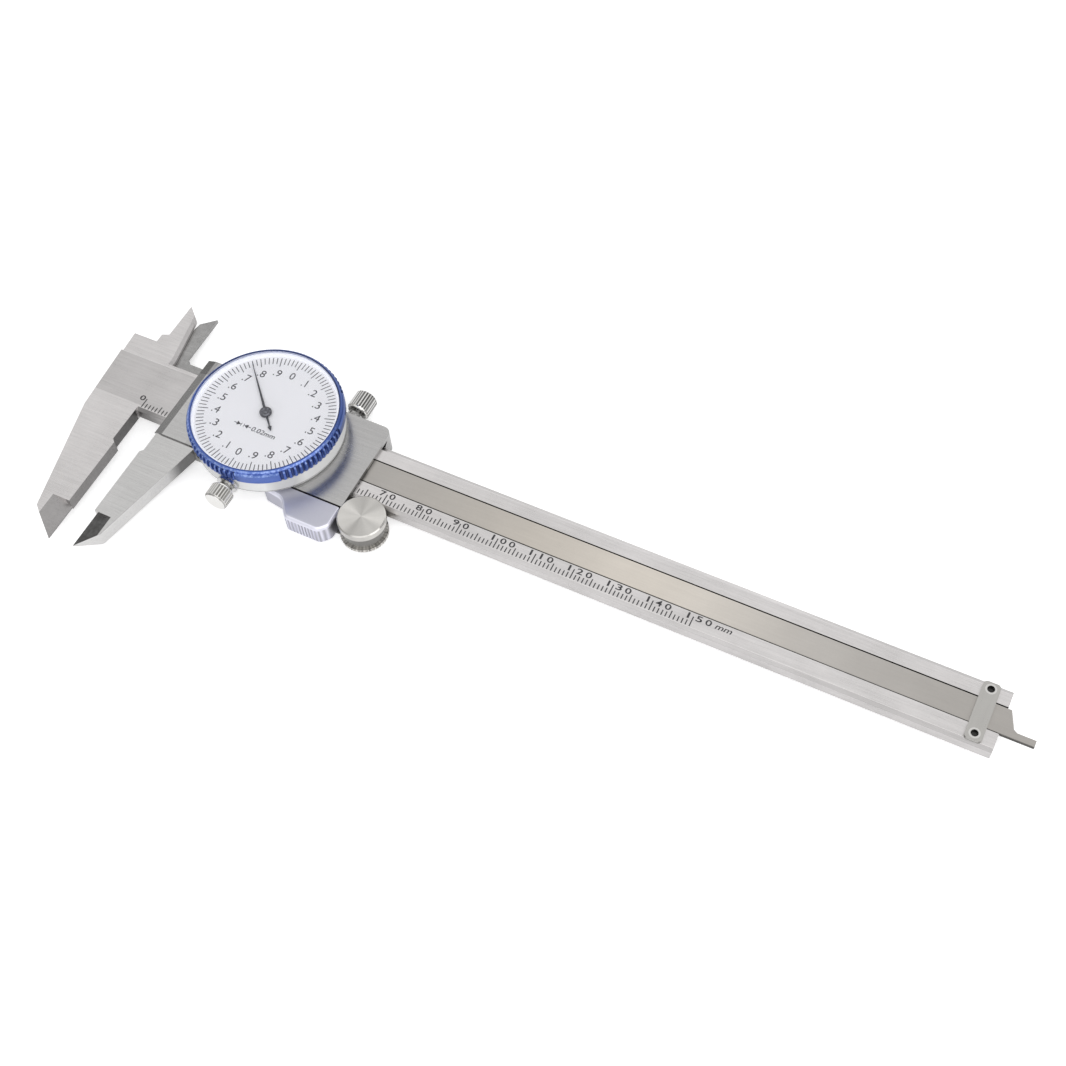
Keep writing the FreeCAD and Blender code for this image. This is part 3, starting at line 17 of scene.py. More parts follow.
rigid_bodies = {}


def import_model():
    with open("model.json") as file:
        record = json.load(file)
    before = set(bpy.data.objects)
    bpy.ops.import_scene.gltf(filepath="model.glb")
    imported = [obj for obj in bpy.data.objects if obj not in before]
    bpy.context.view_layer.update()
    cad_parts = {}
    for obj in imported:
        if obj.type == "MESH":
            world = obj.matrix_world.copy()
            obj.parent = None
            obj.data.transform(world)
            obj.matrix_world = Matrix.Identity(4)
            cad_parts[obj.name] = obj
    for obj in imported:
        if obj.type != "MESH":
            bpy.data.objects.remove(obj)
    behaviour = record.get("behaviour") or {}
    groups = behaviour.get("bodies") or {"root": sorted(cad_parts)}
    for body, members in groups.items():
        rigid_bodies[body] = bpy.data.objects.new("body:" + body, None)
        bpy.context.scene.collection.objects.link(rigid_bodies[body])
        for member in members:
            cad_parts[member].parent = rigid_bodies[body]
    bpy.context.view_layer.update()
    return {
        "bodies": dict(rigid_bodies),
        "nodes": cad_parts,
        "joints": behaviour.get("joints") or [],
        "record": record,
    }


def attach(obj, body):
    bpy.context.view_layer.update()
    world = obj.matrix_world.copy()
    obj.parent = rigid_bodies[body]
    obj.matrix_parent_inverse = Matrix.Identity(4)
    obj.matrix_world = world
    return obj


MM = 0.001
WHITE = (1.0, 1.0, 1.0, 1.0)
Mesh = bpy.types.Mesh
Pair = Tuple[float, float]
Point = Tuple[float, float, float]
Colour = Point
log = logging.getLogger("caliper")


class Axis(Enum):
    """The direction that a finish follows."""

    X = 0
    Y = 1
    Z = 2


class Signal:
    """A socket of a node tree, on which Python's operators add Math nodes."""

    def __init__(self, nodes: "Nodes", socket: bpy.types.NodeSocket) -> None:
        """Wrap one output socket of a tree."""
        self.nodes = nodes
        self.socket = socket

    def math(self, operation: str, *values: Any) -> "Signal":
        """Add one Math node with its inputs in order."""
        return self.nodes.add("ShaderNodeMath", {"operation": operation}, dict(enumerate(values)))

    def __add__(self, other: Any) -> "Signal":
        """Sum."""
        return self.math("ADD", self, other)

    def __radd__(self, other: Any) -> "Signal":
        """Sum, with the number first."""
        return self.math("ADD", other, self)

    def __sub__(self, other: Any) -> "Signal":
        """Difference."""
        return self.math("SUBTRACT", self, other)

    def __rsub__(self, other: Any) -> "Signal":
        """Difference, with the number first."""
        return self.math("SUBTRACT", other, self)

    def __mul__(self, other: Any) -> "Signal":
        """Product."""
        return self.math("MULTIPLY", self, other)

    def __rmul__(self, other: Any) -> "Signal":
        """Product, with the number first."""
        return self.math("MULTIPLY", other, self)

    def __truediv__(self, other: Any) -> "Signal":
        """Quotient."""
        return self.math("DIVIDE", self, other)

    def __mod__(self, other: Any) -> "Signal":
        """Remainder."""
        return self.math("MODULO", self, other)

    def __lt__(self, other: Any) -> "Signal":
        """One where this is less, and zero elsewhere."""
        return self.math("LESS_THAN", self, other)

    def __gt__(self, other: Any) -> "Signal":
        """One where this is greater, and zero elsewhere."""
        return self.math("GREATER_THAN", self, other)


Value = Union[Signal, float, Sequence[float]]


class Nodes:
    """Builds the nodes of one tree."""

    def __init__(self, tree: bpy.types.NodeTree) -> None:
        """Start on a shader or geometry tree, which is emptied."""
        self.tree = tree
        tree.nodes.clear()

    def add(self, kind: str, settings: Optional[Dict[str, Any]] = None,
            sockets: Optional[Dict[Any, Any]] = None, out: Any = 0) -> Signal:
        """Add one node.

        Args:
            kind: The node's type.
            settings: Its settings, or a ramp's stops, which are set first.
            sockets: Values or links of its inputs, by name or number.
            out: The output wanted, by name or number.

        Returns:
            That output.
        """
        node = self.tree.nodes.new(kind)
        for name, value in (settings or {}).items():
            if name == "stops":
                elements = node.color_ramp.elements
                while len(elements) < len(value):
                    elements.new(0.5)
                for element, (place, level) in zip(elements, value):
                    element.position = place
                    element.color = (level, level, level, 1.0)
            else:
                setattr(node, name, value)
        for name, value in (sockets or {}).items():
            if isinstance(value, Signal):
                self.tree.links.new(value.socket, node.inputs[name])
            else:
                node.inputs[name].default_value = value
        return Signal(self, node.outputs[out]) if len(node.outputs) else Signal(self, None)

    def mix(self, factor: Value, first: Any, second: Any) -> Signal:
        """Mix two colours or links; a factor of one gives the second."""
        first, second = [
            (*item, 1.0) if isinstance(item, tuple) and len(item) == 3 else item
            for item in (first, second)
        ]
        return self.add("ShaderNodeMix", {"data_type": "RGBA"}, {0: factor, 6: first, 7: second}, 2)

    def product(self, colour: Signal, factor: Any) -> Signal:
        """Multiply a colour by another."""
        return self.add("ShaderNodeMix", {"data_type": "RGBA", "blend_type": "MULTIPLY"},
                        {0: 1.0, 6: colour, 7: factor}, 2)

    def ramp(self, value: Value, *stops: Pair) -> Signal:
        """Reshape a value by a ramp of places and levels."""
        return self.add("ShaderNodeValToRGB", {"stops": stops}, {"Fac": value})

    def noise(self, vector: Value, scale: float, detail: float = 3.0,
              roughness: float = 0.55) -> Signal:
        """Noise on a vector, from 0 to 1."""
        return self.add("ShaderNodeTexNoise", {"noise_dimensions": "3D"}, {
            "Vector": vector, "Scale": scale, "Detail": detail, "Roughness": roughness})

    def noise_line(self, place: Value, scale: float, detail: float = 2.0) -> Signal:
        """Noise along one number, from 0 to 1."""
        return self.add("ShaderNodeTexNoise", {"noise_dimensions": "1D"}, {
            "W": place, "Scale": scale, "Detail": detail})

    def near(self, value: Signal, target: Value, reach: float) -> Signal:
        """One where a value lies within a reach of its target."""
        gap = value - target
        return gap.math("ABSOLUTE", gap) < reach

    def parts(self, vector: Signal) -> Tuple[Signal, Signal, Signal]:
        """Split a vector into its three numbers."""
        x, y, z = [self.add("ShaderNodeSeparateXYZ", None, {0: vector}, index)
                   for index in range(3)]
        return x, y, z

    def rays(self, *kinds: str) -> List[Signal]:
        """Tell kinds of ray apart: each signal is one for its own kind."""
        return [self.add("ShaderNodeLightPath", out=f"Is {kind} Ray") for kind in kinds]

    def reach(self, place: Signal) -> Signal:
        """Give a place's distance from the dial's axis."""
        return self.vector("LENGTH", self.scaled(place, (1.0, 1.0, 0.0)), out="Value")

    def vector(self, operation: str, *values: Any, out: Any = 0) -> Signal:
        """Add one Vector Math node."""
        return self.add(
            "ShaderNodeVectorMath", {"operation": operation}, dict(enumerate(values)), out)

    def scaled(self, vector: Value, factor: Any) -> Signal:
        """Multiply a vector by a vector of numbers."""
        return self.vector("MULTIPLY", vector, factor)


@dataclass(frozen=True)
class Finish:
    """A surface finish, from which one material is made."""

    name: str
    tone: Colour

    def material(self) -> bpy.types.Material:
        """Make the material, or give the one already made.

        Returns:
            The material of this finish.
        """
        made = bpy.data.materials.get(self.name)
        if made:
            return made
        made = bpy.data.materials.new(self.name)
        made.use_nodes = True
        nodes = Nodes(made.node_tree)
        surface = self.surface(nodes, self.where(nodes))
        nodes.add("ShaderNodeOutputMaterial", None, {"Surface": surface})
        made.diffuse_color = (*self.tone, 1.0)
        return made

    def toned(self, factor: float) -> Colour:
        """Give the finish's tone, darker or lighter by a factor."""
        red, green, blue = [min(1.0, part * factor) for part in self.tone]
        return red, green, blue

    def where(self, nodes: Nodes) -> Signal:
        """Give the place on the object in millimetres."""
        place = nodes.vector("SCALE", nodes.add("ShaderNodeTexCoord", out="Object"))
        place.socket.node.inputs["Scale"].default_value = 1.0 / MM
        return place

    def surface(self, nodes: Nodes, place: Signal) -> Signal:
        """Build the shader; the place is in millimetres."""
        return self.shader(nodes, {"Base Color": (*self.tone, 1.0)})

    def shader(self, nodes: Nodes, sockets: Dict[str, Any]) -> Signal:
        """Add the Principled shader with its sockets."""
        return nodes.add("ShaderNodeBsdfPrincipled", None, sockets)

    def shade(self, nodes: Nodes, place: Signal) -> Value:
        """Say how bright each place is, as a factor; a plain finish is even."""
        return 1.0

    def tinted(self, nodes: Nodes, colour: Signal, factor: Value) -> Signal:
        """Multiply a colour by a factor."""
        if isinstance(factor, float):
            return colour
        grey = nodes.add("ShaderNodeCombineColor", None, {0: factor, 1: factor, 2: factor})
        return nodes.product(colour, grey)

    def bump(self, nodes: Nodes, height: Signal, depth: float, strength: float = 1.0) -> Signal:
        """Turn a height from 0 to 1 into a normal, with its depth in millimetres."""
        return nodes.add("ShaderNodeBump", None, {
            "Height": height, "Distance": depth * MM, "Strength": strength})


@dataclass(frozen=True)
class GroundSteel(Finish):
    """Satin steel with the fine lines that a grinding wheel leaves."""

    grain: Axis = Axis.X
    roughness: float = 0.3
    contrast: float = 0.16
    relief: float = 0.004
    mottle: float = 0.06

    def surface(self, nodes: Nodes, place: Signal) -> Signal:
        """Build the shader."""
        stretch = [5.0, 5.0, 5.0]
        stretch[self.grain.value] = 0.16
        lines = nodes.noise(nodes.scaled(place, tuple(stretch)), 1.0, 4.0, 0.65)
        wide = nodes.noise(nodes.scaled(place, tuple(part * 0.3 for part in stretch)), 1.0, 3.0)
        cloud = nodes.noise(place, 0.09, 3.0)
        fine = nodes.noise(place, 2.4, 2.0, 0.7)
        scratch_place = nodes.scaled(place, (0.9, 0.35, 0.5))
        scratch = nodes.ramp(nodes.noise(scratch_place, 3.2, 6.0, 0.8), (0.66, 0.0), (0.74, 1.0))
        value = (lines - 0.5) * self.contrast + (wide - 0.5) * (self.contrast * 0.8)
        value = value + (cloud - 0.5) * self.mottle * 2.0 + (fine - 0.5) * self.mottle
        colour = nodes.mix(value + 0.5, self.toned(0.62), self.toned(1.38))
        colour = nodes.mix(scratch * 0.16, colour, self.toned(1.5))
        rough = self.roughness + (lines - 0.5) * 0.16 + (cloud - 0.5) * 0.14
        height = lines * 0.8 + fine * 0.2
        colour = self.tinted(nodes, colour, self.shade(nodes, place))
        return self.shader(nodes, {
            "Base Color": colour, "Metallic": 1.0, "Roughness": rough,
            "Normal": self.bump(nodes, height, self.relief, 0.6)})


@dataclass(frozen=True)
class TurnedMetal(Finish):
    """Metal turned on a lathe, with rings round its axis."""

    axis: Axis = Axis.Z
    centre: Pair = (0.0, 0.0)
    roughness: float = 0.24
    contrast: float = 0.14
    relief: float = 0.006
    pitch: float = 0.12
    metallic: float = 1.0

    def surface(self, nodes: Nodes, place: Signal) -> Signal:
        """Build the shader."""
        across = [1.0, 1.0, 1.0]
        across[self.axis.value] = 0.0
        middle = [0.0, 0.0, 0.0]
        sides = [index for index in range(3) if index != self.axis.value]
        for side, value in zip(sides, self.centre):
            middle[side] = value
        flat = nodes.scaled(nodes.vector("SUBTRACT", place, tuple(middle)), tuple(across))
        radius = nodes.vector("LENGTH", flat, out="Value")
        along = nodes.add("ShaderNodeSeparateXYZ", None, {0: place}, self.axis.value)
        face = nodes.noise_line(radius, 1.0 / self.pitch, 3.0)
        wall = nodes.noise_line(along, 1.0 / self.pitch, 3.0)
        cloud = nodes.noise(place, 0.35, 3.0)
        spot = nodes.noise(place, 3.0, 2.0, 0.7)
        value = (face + wall - 1.0) * self.contrast + (cloud - 0.5) * 0.12 + (spot - 0.5) * 0.06
        rough = self.roughness + (face - 0.5) * 0.1 + (cloud - 0.5) * 0.1
        colour = nodes.mix(value + 0.5, self.toned(0.6), self.toned(1.4))
        colour = self.tinted(nodes, colour, self.shade(nodes, place))
        return self.shader(nodes, {
            "Base Color": colour, "Metallic": self.metallic, "Roughness": rough,
            "Normal": self.bump(nodes, face + wall, self.relief, 0.7)})


@dataclass(frozen=True)
class Anodised(Finish):
    """A coloured bezel with a soft sheen and fine wear."""

    roughness: float = 0.3

    def surface(self, nodes: Nodes, place: Signal) -> Signal:
        """Build the shader."""
        radius = nodes.reach(place)
        rings = nodes.noise_line(radius, 9.0, 3.0)
        cloud = nodes.noise(place, 0.5, 4.0)
        grain = nodes.noise(place, 6.0, 2.0, 0.7)
        wear = nodes.ramp(nodes.noise(place, 2.2, 5.0, 0.75), (0.62, 0.0), (0.78, 1.0))
        shade = 0.5 + (cloud - 0.5) * 0.5 + (rings - 0.5) * 0.2 + (grain - 0.5) * 0.25
        colour = nodes.mix(shade, self.toned(0.7), self.toned(1.3))
        colour = nodes.mix(wear * 0.2, colour, (0.35, 0.42, 0.68))
        colour = self.tinted(nodes, colour, self.shade(nodes, place))
        return self.shader(nodes, {
            "Base Color": colour, "Metallic": 0.55,
            "Roughness": self.roughness + (grain - 0.5) * 0.14 + wear * 0.1,
            "Coat Weight": 0.35, "Coat Roughness": 0.12,
            "Normal": self.bump(nodes, grain + rings * 0.5, 0.005, 0.5)})


@dataclass(frozen=True)
class Enamel(Finish):
    """Matt print or lacquer with a fine even grain; its glow, where set, is painted light."""

    roughness: float = 0.5
    spread: float = 0.05
    # glow: emission strength, which is painted light on the seat ring.
    glow: float = 0.0

    def surface(self, nodes: Nodes, place: Signal) -> Signal:
        """Build the shader."""
        cloud = nodes.noise(place, 0.12, 3.0)
        grain = nodes.noise(place, 9.0, 3.0, 0.7)
        shade = 0.5 + (cloud - 0.5) * 0.6 + (grain - 0.5) * 0.4
        colour = nodes.mix(shade, self.toned(1.0 - self.spread), self.toned(1.0 + self.spread))
        colour = self.tinted(nodes, colour, self.shade(nodes, place))
        return self.shader(nodes, {
            "Base Color": colour, "Emission Color": (*self.tone, 1.0),
            "Emission Strength": self.glow,
            "Roughness": self.roughness + (grain - 0.5) * 0.12,
            "Normal": self.bump(nodes, grain, 0.003, 0.4)})


@dataclass(frozen=True)
class HandBlack(Enamel):
    """The pointer's black, with painted mottled highlights on its hub."""

    hub: float = 1.3

    def shade(self, nodes: Nodes, place: Signal) -> Value:
        """Say how bright each place is."""
        radius = nodes.reach(place)
        # Painted highlights: light mottled spots on the hub stand in for its shine.
        spots = nodes.ramp(nodes.noise(place, 1.7, 3.0, 0.8), (0.45, 0.0), (0.6, 1.0))
        return 1.0 + (radius < self.hub) * spots * 3.5


@dataclass(frozen=True)
class ClearGlass(Finish):
    """The crystal: clear straight on, with a faint shine at a slant."""

    def surface(self, nodes: Nodes, place: Signal) -> Signal:
        """Build the shader."""
        haze = nodes.noise(place, 0.4, 3.0)
        clear = nodes.add("ShaderNodeBsdfTransparent", None, {"Color": (*self.tone, 1.0)})
        shine = self.shader(nodes, {
            "Base Color": (0.9, 0.93, 1.0, 1.0), "Roughness": 0.04 + haze * 0.03,
            "Specular IOR Level": 0.6})
        slant = nodes.add("ShaderNodeFresnel", None, {"IOR": 1.35})
        return nodes.add("ShaderNodeMixShader", None, {0: slant * 0.5, 1: clear, 2: shine})


@dataclass(frozen=True)
class BeamSteel(GroundSteel):
    """The beam's steel, with painted shade on its polished head, its ground nose, its channel, the
    fixed jaw's flank and its lower side, and a painted highlight on the step's edge.
    """

    front: float = 5.35
    half_width: float = 8.0
    face: float = -34.56
    relief_low: float = -18.4
    bevel_drop: float = 0.72
    head_right: float = -32.6
    step: float = 6.6
    nose_top: float = -38.3
    nose_left: float = -39.36
    nose_width: float = 4.8
    nose_drop: float = 2.7
    channel_half: float = 3.52
    channel_middle: float = 0.2

    def shade(self, nodes: Nodes, place: Signal) -> Value:
        """Say how bright each place is."""
        x, y, z = nodes.parts(place)
        # Painted shade darkens the head flat, the ground nose, the channel and the fixed jaw's
        # flank.
        head = (x < self.head_right + 8.0) * nodes.near(y, 0.0, self.step)
        head = head * nodes.near(z, self.front, 0.03)
        slope = (x - self.nose_left) * (-self.nose_drop / self.nose_width) + self.front
        nose = nodes.near(z, slope, 0.05) * (y < self.nose_top) * (x > self.nose_left + 0.05)
        channel = nodes.near(y, self.channel_middle, self.channel_half)
        channel = channel * (z < self.front - 0.05) * (x > self.head_right)
        below = z < self.front - 0.03
        flank = (x > self.face - 1.1) * (x < self.face + 0.6) * (y < -8.5) * below * (1.0 - nose)
        flank = flank * (0.55 + (y > self.relief_low) * 0.2)
        # Painted highlight along the step's edge, and painted shade on the lower side near the jaw
        # face.
        edge_highlight = (y > self.step) * (y < self.step + 0.5) * (z < self.front) * (x < self.head_right)
        side = nodes.near(y, 0.45 - self.half_width, 0.5) * below * (x > self.face - 0.85)
        corner = side * nodes.ramp((x - self.face) / 20.0, (0.12, 1.0), (0.45, 0.0))
        upper = (y > self.half_width - 0.9) * (z < self.front - 0.02) * (x > 0.0)
        far = nodes.ramp((x - 60.0) / 130.0, (0.0, 0.0), (0.75, 1.0))
        factor = 1.0 - head * 0.16 - nose * 0.45 - channel * 0.85 - flank
        factor = factor + edge_highlight * (z > self.front - 0.82) * 0.6 - corner * 0.6
        side = side * (1.0 - corner)
        # Painted shade on the lower bevel and wall, growing along the beam, and on the upper bevel,
        # varying along its length.
        bevel = side * (z > self.front - self.bevel_drop) * (0.23 + far * 0.2)
        wall = side * (z < self.front - self.bevel_drop) * (0.03 + far * 0.06)
        rim = nodes.ramp(x / 200.0, (0.17, 0.24), (0.42, 0.08), (0.55, 0.0), (0.66, 0.0),
                         (0.74, 0.16), (0.85, 0.22))
        return factor - bevel - wall - upper * rim


@dataclass(frozen=True)
class StopScrewSteel(TurnedMetal):
    """Bright button heads, with painted shade that blackens their sockets."""

    middles: Tuple[Pair, ...] = ((181.44, -5.8), (181.44, 5.8))
    socket: float = 0.86

    def shade(self, nodes: Nodes, place: Signal) -> Value:
        """Say how bright each place is."""
        flat = nodes.scaled(place, (1.0, 1.0, 0.0))
        # Painted shade: each socket is made nearly black.
        sockets = [nodes.vector("DISTANCE", flat, (x, y, 0.0), out="Value") < self.socket
                   for x, y in self.middles]
        return 1.0 - sum(sockets) * 0.93


@dataclass(frozen=True)
class SliderSteel(GroundSteel):
    """The slider's steel, with a brighter jaw and a darker inside jaw, painted shade on its ground
    nose, its lower side, its right end and the wall under the dial, and painted light and shade on
    the jaw's flank.
    """

    jaw_front: float = 5.95
    nose_top: float = -38.3
    nose_left: float = -26.8
    nose_width: float = 4.8
    nose_low: float = 4.2
    inside_low: float = 8.2
    inside_right: float = -23.5
    right: float = 27.5
    jaw_right: float = -16.2
    low_side: float = -12.525

    def shade(self, nodes: Nodes, place: Signal) -> Value:
        """Say how bright each place is."""
        x, y, z = nodes.parts(place)
        jaw = (z < self.jaw_front + 0.05) * (y < -12.6)
        rise = (self.jaw_front - self.nose_low) / self.nose_width
        slope = (x - self.nose_left) * rise + self.nose_low
        nose = nodes.near(z, slope, 0.05) * (y < self.nose_top)
        nose = nose * (x < self.nose_left + self.nose_width - 0.05)
        spots = nodes.ramp(nodes.noise(place, 0.9, 3.0, 0.7), (0.35, 0.0), (0.65, 1.0))
        inside = (y > self.inside_low) * (x < self.inside_right)
        lead = (y < self.inside_low) * (x < self.inside_right + 6.0) * (1.0 - jaw)
        flank = (z < self.jaw_front - 0.05) * (y < -13.0) * (1.0 - nose)
        side = nodes.near(y, self.low_side, 0.075)
        low_side = side * (z > self.jaw_front + 0.05)
        end = (x > self.right - 0.05) * (y < 0.0)
        under = side * (x > self.jaw_right) * (z < self.jaw_front + 0.05)
        # Painted shade darkens the ground nose; the inside jaw is darker and its lead brighter.
        factor = 1.0 + jaw * 0.22 - nose * (0.84 - spots * 0.2)
        factor = factor - inside * (0.16 + spots * 0.14) + lead * 0.1
        # Painted light and shade on the jaw's flank, lighter towards the tip and dark near the
        # root; painted shade on the lower side, the right end and the wall under the dial.
        root = nodes.ramp((y + 23.0) / 10.0, (0.1, 0.0), (0.5, 1.0))
        flank = flank * (0.25 - root * 0.98)
        return factor + flank - low_side * 0.7 - end * 0.6 - under * 0.95


@dataclass(frozen=True)
class BarSteel(GroundSteel):
    """The depth bar's steel, warm in its middle, with painted light that is brightest in its
    middle, and painted shade on its sides and along its lower edge.
    """

    top: float = 5.15
    low_side: float = -2.92
    warm: Pair = (72.0, 104.0)
    blend: float = 40.0
    cool: Tuple[float, ...] = (0.96, 0.985, 1.03, 1.0)

    def tinted(self, nodes: Nodes, colour: Signal, factor: Value) -> Signal:
        """Multiply a colour by a factor, and cool it towards both ends."""
        colour = super().tinted(nodes, colour, factor)
        x, _, _ = nodes.parts(self.where(nodes))
        before = (self.warm[0] - x) / self.blend
        late = before.math("MAXIMUM", before, (x - self.warm[1]) / self.blend)
        late = late.math("MINIMUM", late.math("MAXIMUM", late, 0.0), 1.0)
        return nodes.mix(late, colour, nodes.product(colour, self.cool))

    def shade(self, nodes: Nodes, place: Signal) -> Value:
        """Say how bright each place is."""
        x, y, z = nodes.parts(place)
        # Painted light along the bar, brightest in its middle; painted shade on its sides and along
        # its lower edge.
        along = nodes.ramp(x / 200.0, (0.13, 0.65), (0.2, 0.685), (0.3, 0.757), (0.38, 0.86),
                           (0.48, 0.98), (0.58, 1.0), (0.68, 0.79), (0.78, 0.72), (0.85, 0.66),
                           (0.95, 0.645))
        line = (y < self.low_side) * nodes.ramp(x / 200.0, (0.5, 0.7), (0.8, 0.2))
        return along * (1.0 - (z < self.top) * 0.75) * (1.0 - line)


@dataclass(frozen=True)
class RestMetal(GroundSteel):
    """The thumb rest's cast metal, with a painted highlight on its rounded rim, painted light and
    shade of ribs on its wall, and painted shade in the gap at its seam.
    """

    top: float = 6.25
    rim: float = 1.0
    rib_pitch: float = 0.92
    seam: float = -12.84

    def shade(self, nodes: Nodes, place: Signal) -> Value:
        """Say how bright each place is."""
        x, y, z = nodes.parts(place)
        # Painted highlight on the rounded rim; painted stripes of light and shade for the wall's
        # ribs; painted shade in the gap at the seam.
        edge_highlight = (z < self.top - 0.06) * (z > self.top - self.rim) * (y < self.seam)
        wall = (z < self.top - self.rim) * (x > 14.5) * (y < -15.0)
        rib = x.math("SINE", x * (math.tau / self.rib_pitch))
        uneven = nodes.noise(nodes.scaled(place, (1.0, 1.0, 0.1)), 1.5, 2.0)
        gap = (y > self.seam) * (z > self.top - 1.7) * 0.85
        return 1.0 + edge_highlight * 0.45 + wall * (rib * 0.3 + (uneven - 0.5) * 0.6 + 0.1) - gap


@dataclass(frozen=True)
class CaseSilver(TurnedMetal):
    """The dial case's silver, with the fine dark line above its foot and a streak of painted dark
    reflection.
    """

    seam: float = 7.05
    radius: float = 18.85
    streak: Pair = (0.69, -0.724)

    def shade(self, nodes: Nodes, place: Signal) -> Value:
        """Say how bright each place is."""
        x, y, z = nodes.parts(place)
        # Painted dark reflection in a streak on the side that faces the streak's direction.
        facing = (x * self.streak[0] + y * self.streak[1]) / self.radius
        painted_dark_reflection = nodes.ramp(facing, (0.965, 0.0), (0.995, 0.26)) * (z > self.seam - 1.5)
        return 1.0 - painted_dark_reflection - nodes.near(z, self.seam, 0.09) * 0.7


@dataclass(frozen=True)
class KnobNickel(TurnedMetal):
    """Bright nickel of a knurled knob, with painted shade in its knurls and under its foot, and
    painted highlights on its foot and its end face.
    """

    start: float = 15.06
    end: float = 20.56
    radius: float = 3.0
    knurl_depth: float = 0.3
    foot: float = 0.6
    knurl_shade: float = 0.6

    def shade(self, nodes: Nodes, place: Signal) -> Value:
        """Say how bright each place is."""
        _, y, _ = nodes.parts(place)
        along = y.math("ABSOLUTE", y)
        middle = (self.centre[0], 0.0, self.centre[1])
        flat = nodes.scaled(nodes.vector("SUBTRACT", place, middle), (1.0, 0.0, 1.0))
        radius = nodes.vector("LENGTH", flat, out="Value")
        # Painted shade in the knurls and under the foot; painted highlights on the foot and the end
        # face.
        knurl = (radius < self.radius - 0.09) * (radius > self.radius - self.knurl_depth - 0.05)
        knurl = knurl * (along > self.start + self.foot) * (along < self.end - 0.02)
        spots = nodes.ramp(nodes.noise(place, 1.1, 3.0, 0.8), (0.4, 0.0), (0.6, 1.0))
        under = (along < self.start + 0.15) * (0.35 + spots * 0.4)
        foot = (along > self.start + 0.15) * (along < self.start + self.foot) * 0.25
        face = (along > self.end - 0.1) * 0.12
        return 1.05 - knurl * self.knurl_shade - under + foot + face


@dataclass(frozen=True)
class WheelSteel(TurnedMetal):
    """The thumb wheel's metal, with painted fans of light on its top and its rim, painted shade in
    its groove and painted glints on its knurled foot.
    """

    top: float = 7.4
    groove: Pair = (1.55, 5.45)

    def shade(self, nodes: Nodes, place: Signal) -> Value:
        """Say how bright each place is."""
        x, y, z = nodes.parts(place)
        # Painted fans of light on the top and rim, painted shade in the groove, and painted glints
        # on the knurled foot.
        angle = x.math("ARCTAN2", y - self.centre[1], x - self.centre[0])
        fan = angle.math("SINE", angle * 2.0 + 1.1) * 0.6 + angle.math("SINE", angle * 5.0) * 0.25
        fan = fan + angle.math("SINE", angle * 9.0 + 0.7) * 0.15
        low, high = self.groove
        dark = (z > low) * (z < high)
        teeth = angle.math("SINE", angle * 40.0) + angle.math("SINE", angle * 17.0) * 0.6
        foot = (z < low) * teeth * 0.25
        rim = (z > high) * (z < self.top)
        return 1.0 + fan * (z > self.top) * 0.26 - dark * 0.6 + foot + rim * (fan * 0.2 + 0.1)


@dataclass(frozen=True)
class BezelBlue(Anodised):
    """The bezel's blue, with painted shade in its notches and at its back, darker on its inner wall
    and inner top, and painted glints on the front of its bevel.
    """

    notch: float = 18.75
    rim: float = 14.35
    top: float = 14.95
    inside: float = 18.19

    def shade(self, nodes: Nodes, place: Signal) -> Value:
        """Say how bright each place is."""
        _, y, z = nodes.parts(place)
        radius = nodes.reach(place)
        inner = radius < self.inside
        # Painted shade in the notches and on the back of the ring; the inner wall and inner top are
        # darker.
        back = nodes.ramp(y / 40.0 + 0.5, (0.4, 0.0), (0.62, 1.0))
        flat = (z > self.top - 0.03) * (radius < self.notch - 0.25)
        factor = 1.0 - (radius < self.notch) * (z < self.rim) * 0.5 - inner * 0.4 - flat * 0.45
        return factor - back * 0.35

    def tinted(self, nodes: Nodes, colour: Signal, factor: Value) -> Signal:
        """Multiply a colour by a factor, and lay painted pale glints on the front of the bevel."""
        colour = super().tinted(nodes, colour, factor)
        place = self.where(nodes)
        _, y, z = nodes.parts(place)
        radius = nodes.reach(place)
        front = nodes.ramp(y / 40.0 + 0.5, (0.4, 1.0), (0.62, 0.0))
        # Painted glints: pale blue specks of light on the front of the bevel.
        painted_glints = nodes.ramp(nodes.noise(place, 1.5, 3.0, 0.7), (0.44, 0.1), (0.6, 1.0))
        bevel = (z > self.rim - 0.15) * (z < self.top - 0.03) * (radius > self.notch - 0.2)
        return nodes.mix(bevel * painted_glints * front * 0.9, colour, (0.32, 0.44, 0.80))


JAW_STEEL = BeamSteel(
    "jaw_steel", (0.67, 0.65, 0.645), contrast=0.4, mottle=0.22)
PLATE_STEEL = SliderSteel(
    "plate_steel", (0.47, 0.465, 0.46), roughness=0.23, contrast=0.36, mottle=0.16,
    relief=0.002)
BACK_STEEL = GroundSteel("back_steel", (0.50, 0.50, 0.49), roughness=0.36)
BAR_STEEL = BarSteel(
    "bar_steel", (0.705, 0.655, 0.59), roughness=0.33, mottle=0.1)
STOP_STEEL = GroundSteel("stop_steel", (0.48, 0.47, 0.45), grain=Axis.Y)
RACK_STEEL = GroundSteel("rack_steel", (0.32, 0.31, 0.30), roughness=0.4)
REST_METAL = RestMetal(
    "rest_metal", (0.58, 0.58, 0.65), grain=Axis.Z, roughness=0.4, contrast=0.06, mottle=0.04)
SCREW_STEEL = TurnedMetal("screw_steel", (0.22, 0.21, 0.20), roughness=0.35)
STOP_SCREW = StopScrewSteel(
    "stop_screw_steel", (0.66, 0.65, 0.63), centre=(181.44, 0.0), roughness=0.3, relief=0.002)
PIN_STEEL = TurnedMetal("pin_steel", (0.45, 0.45, 0.46), centre=(33.6, -13.4), roughness=0.3)
CASE_METAL = CaseSilver(
    "case_metal", (0.95, 0.955, 0.955), roughness=0.22, contrast=0.04, relief=0.003,
    metallic=0.15)
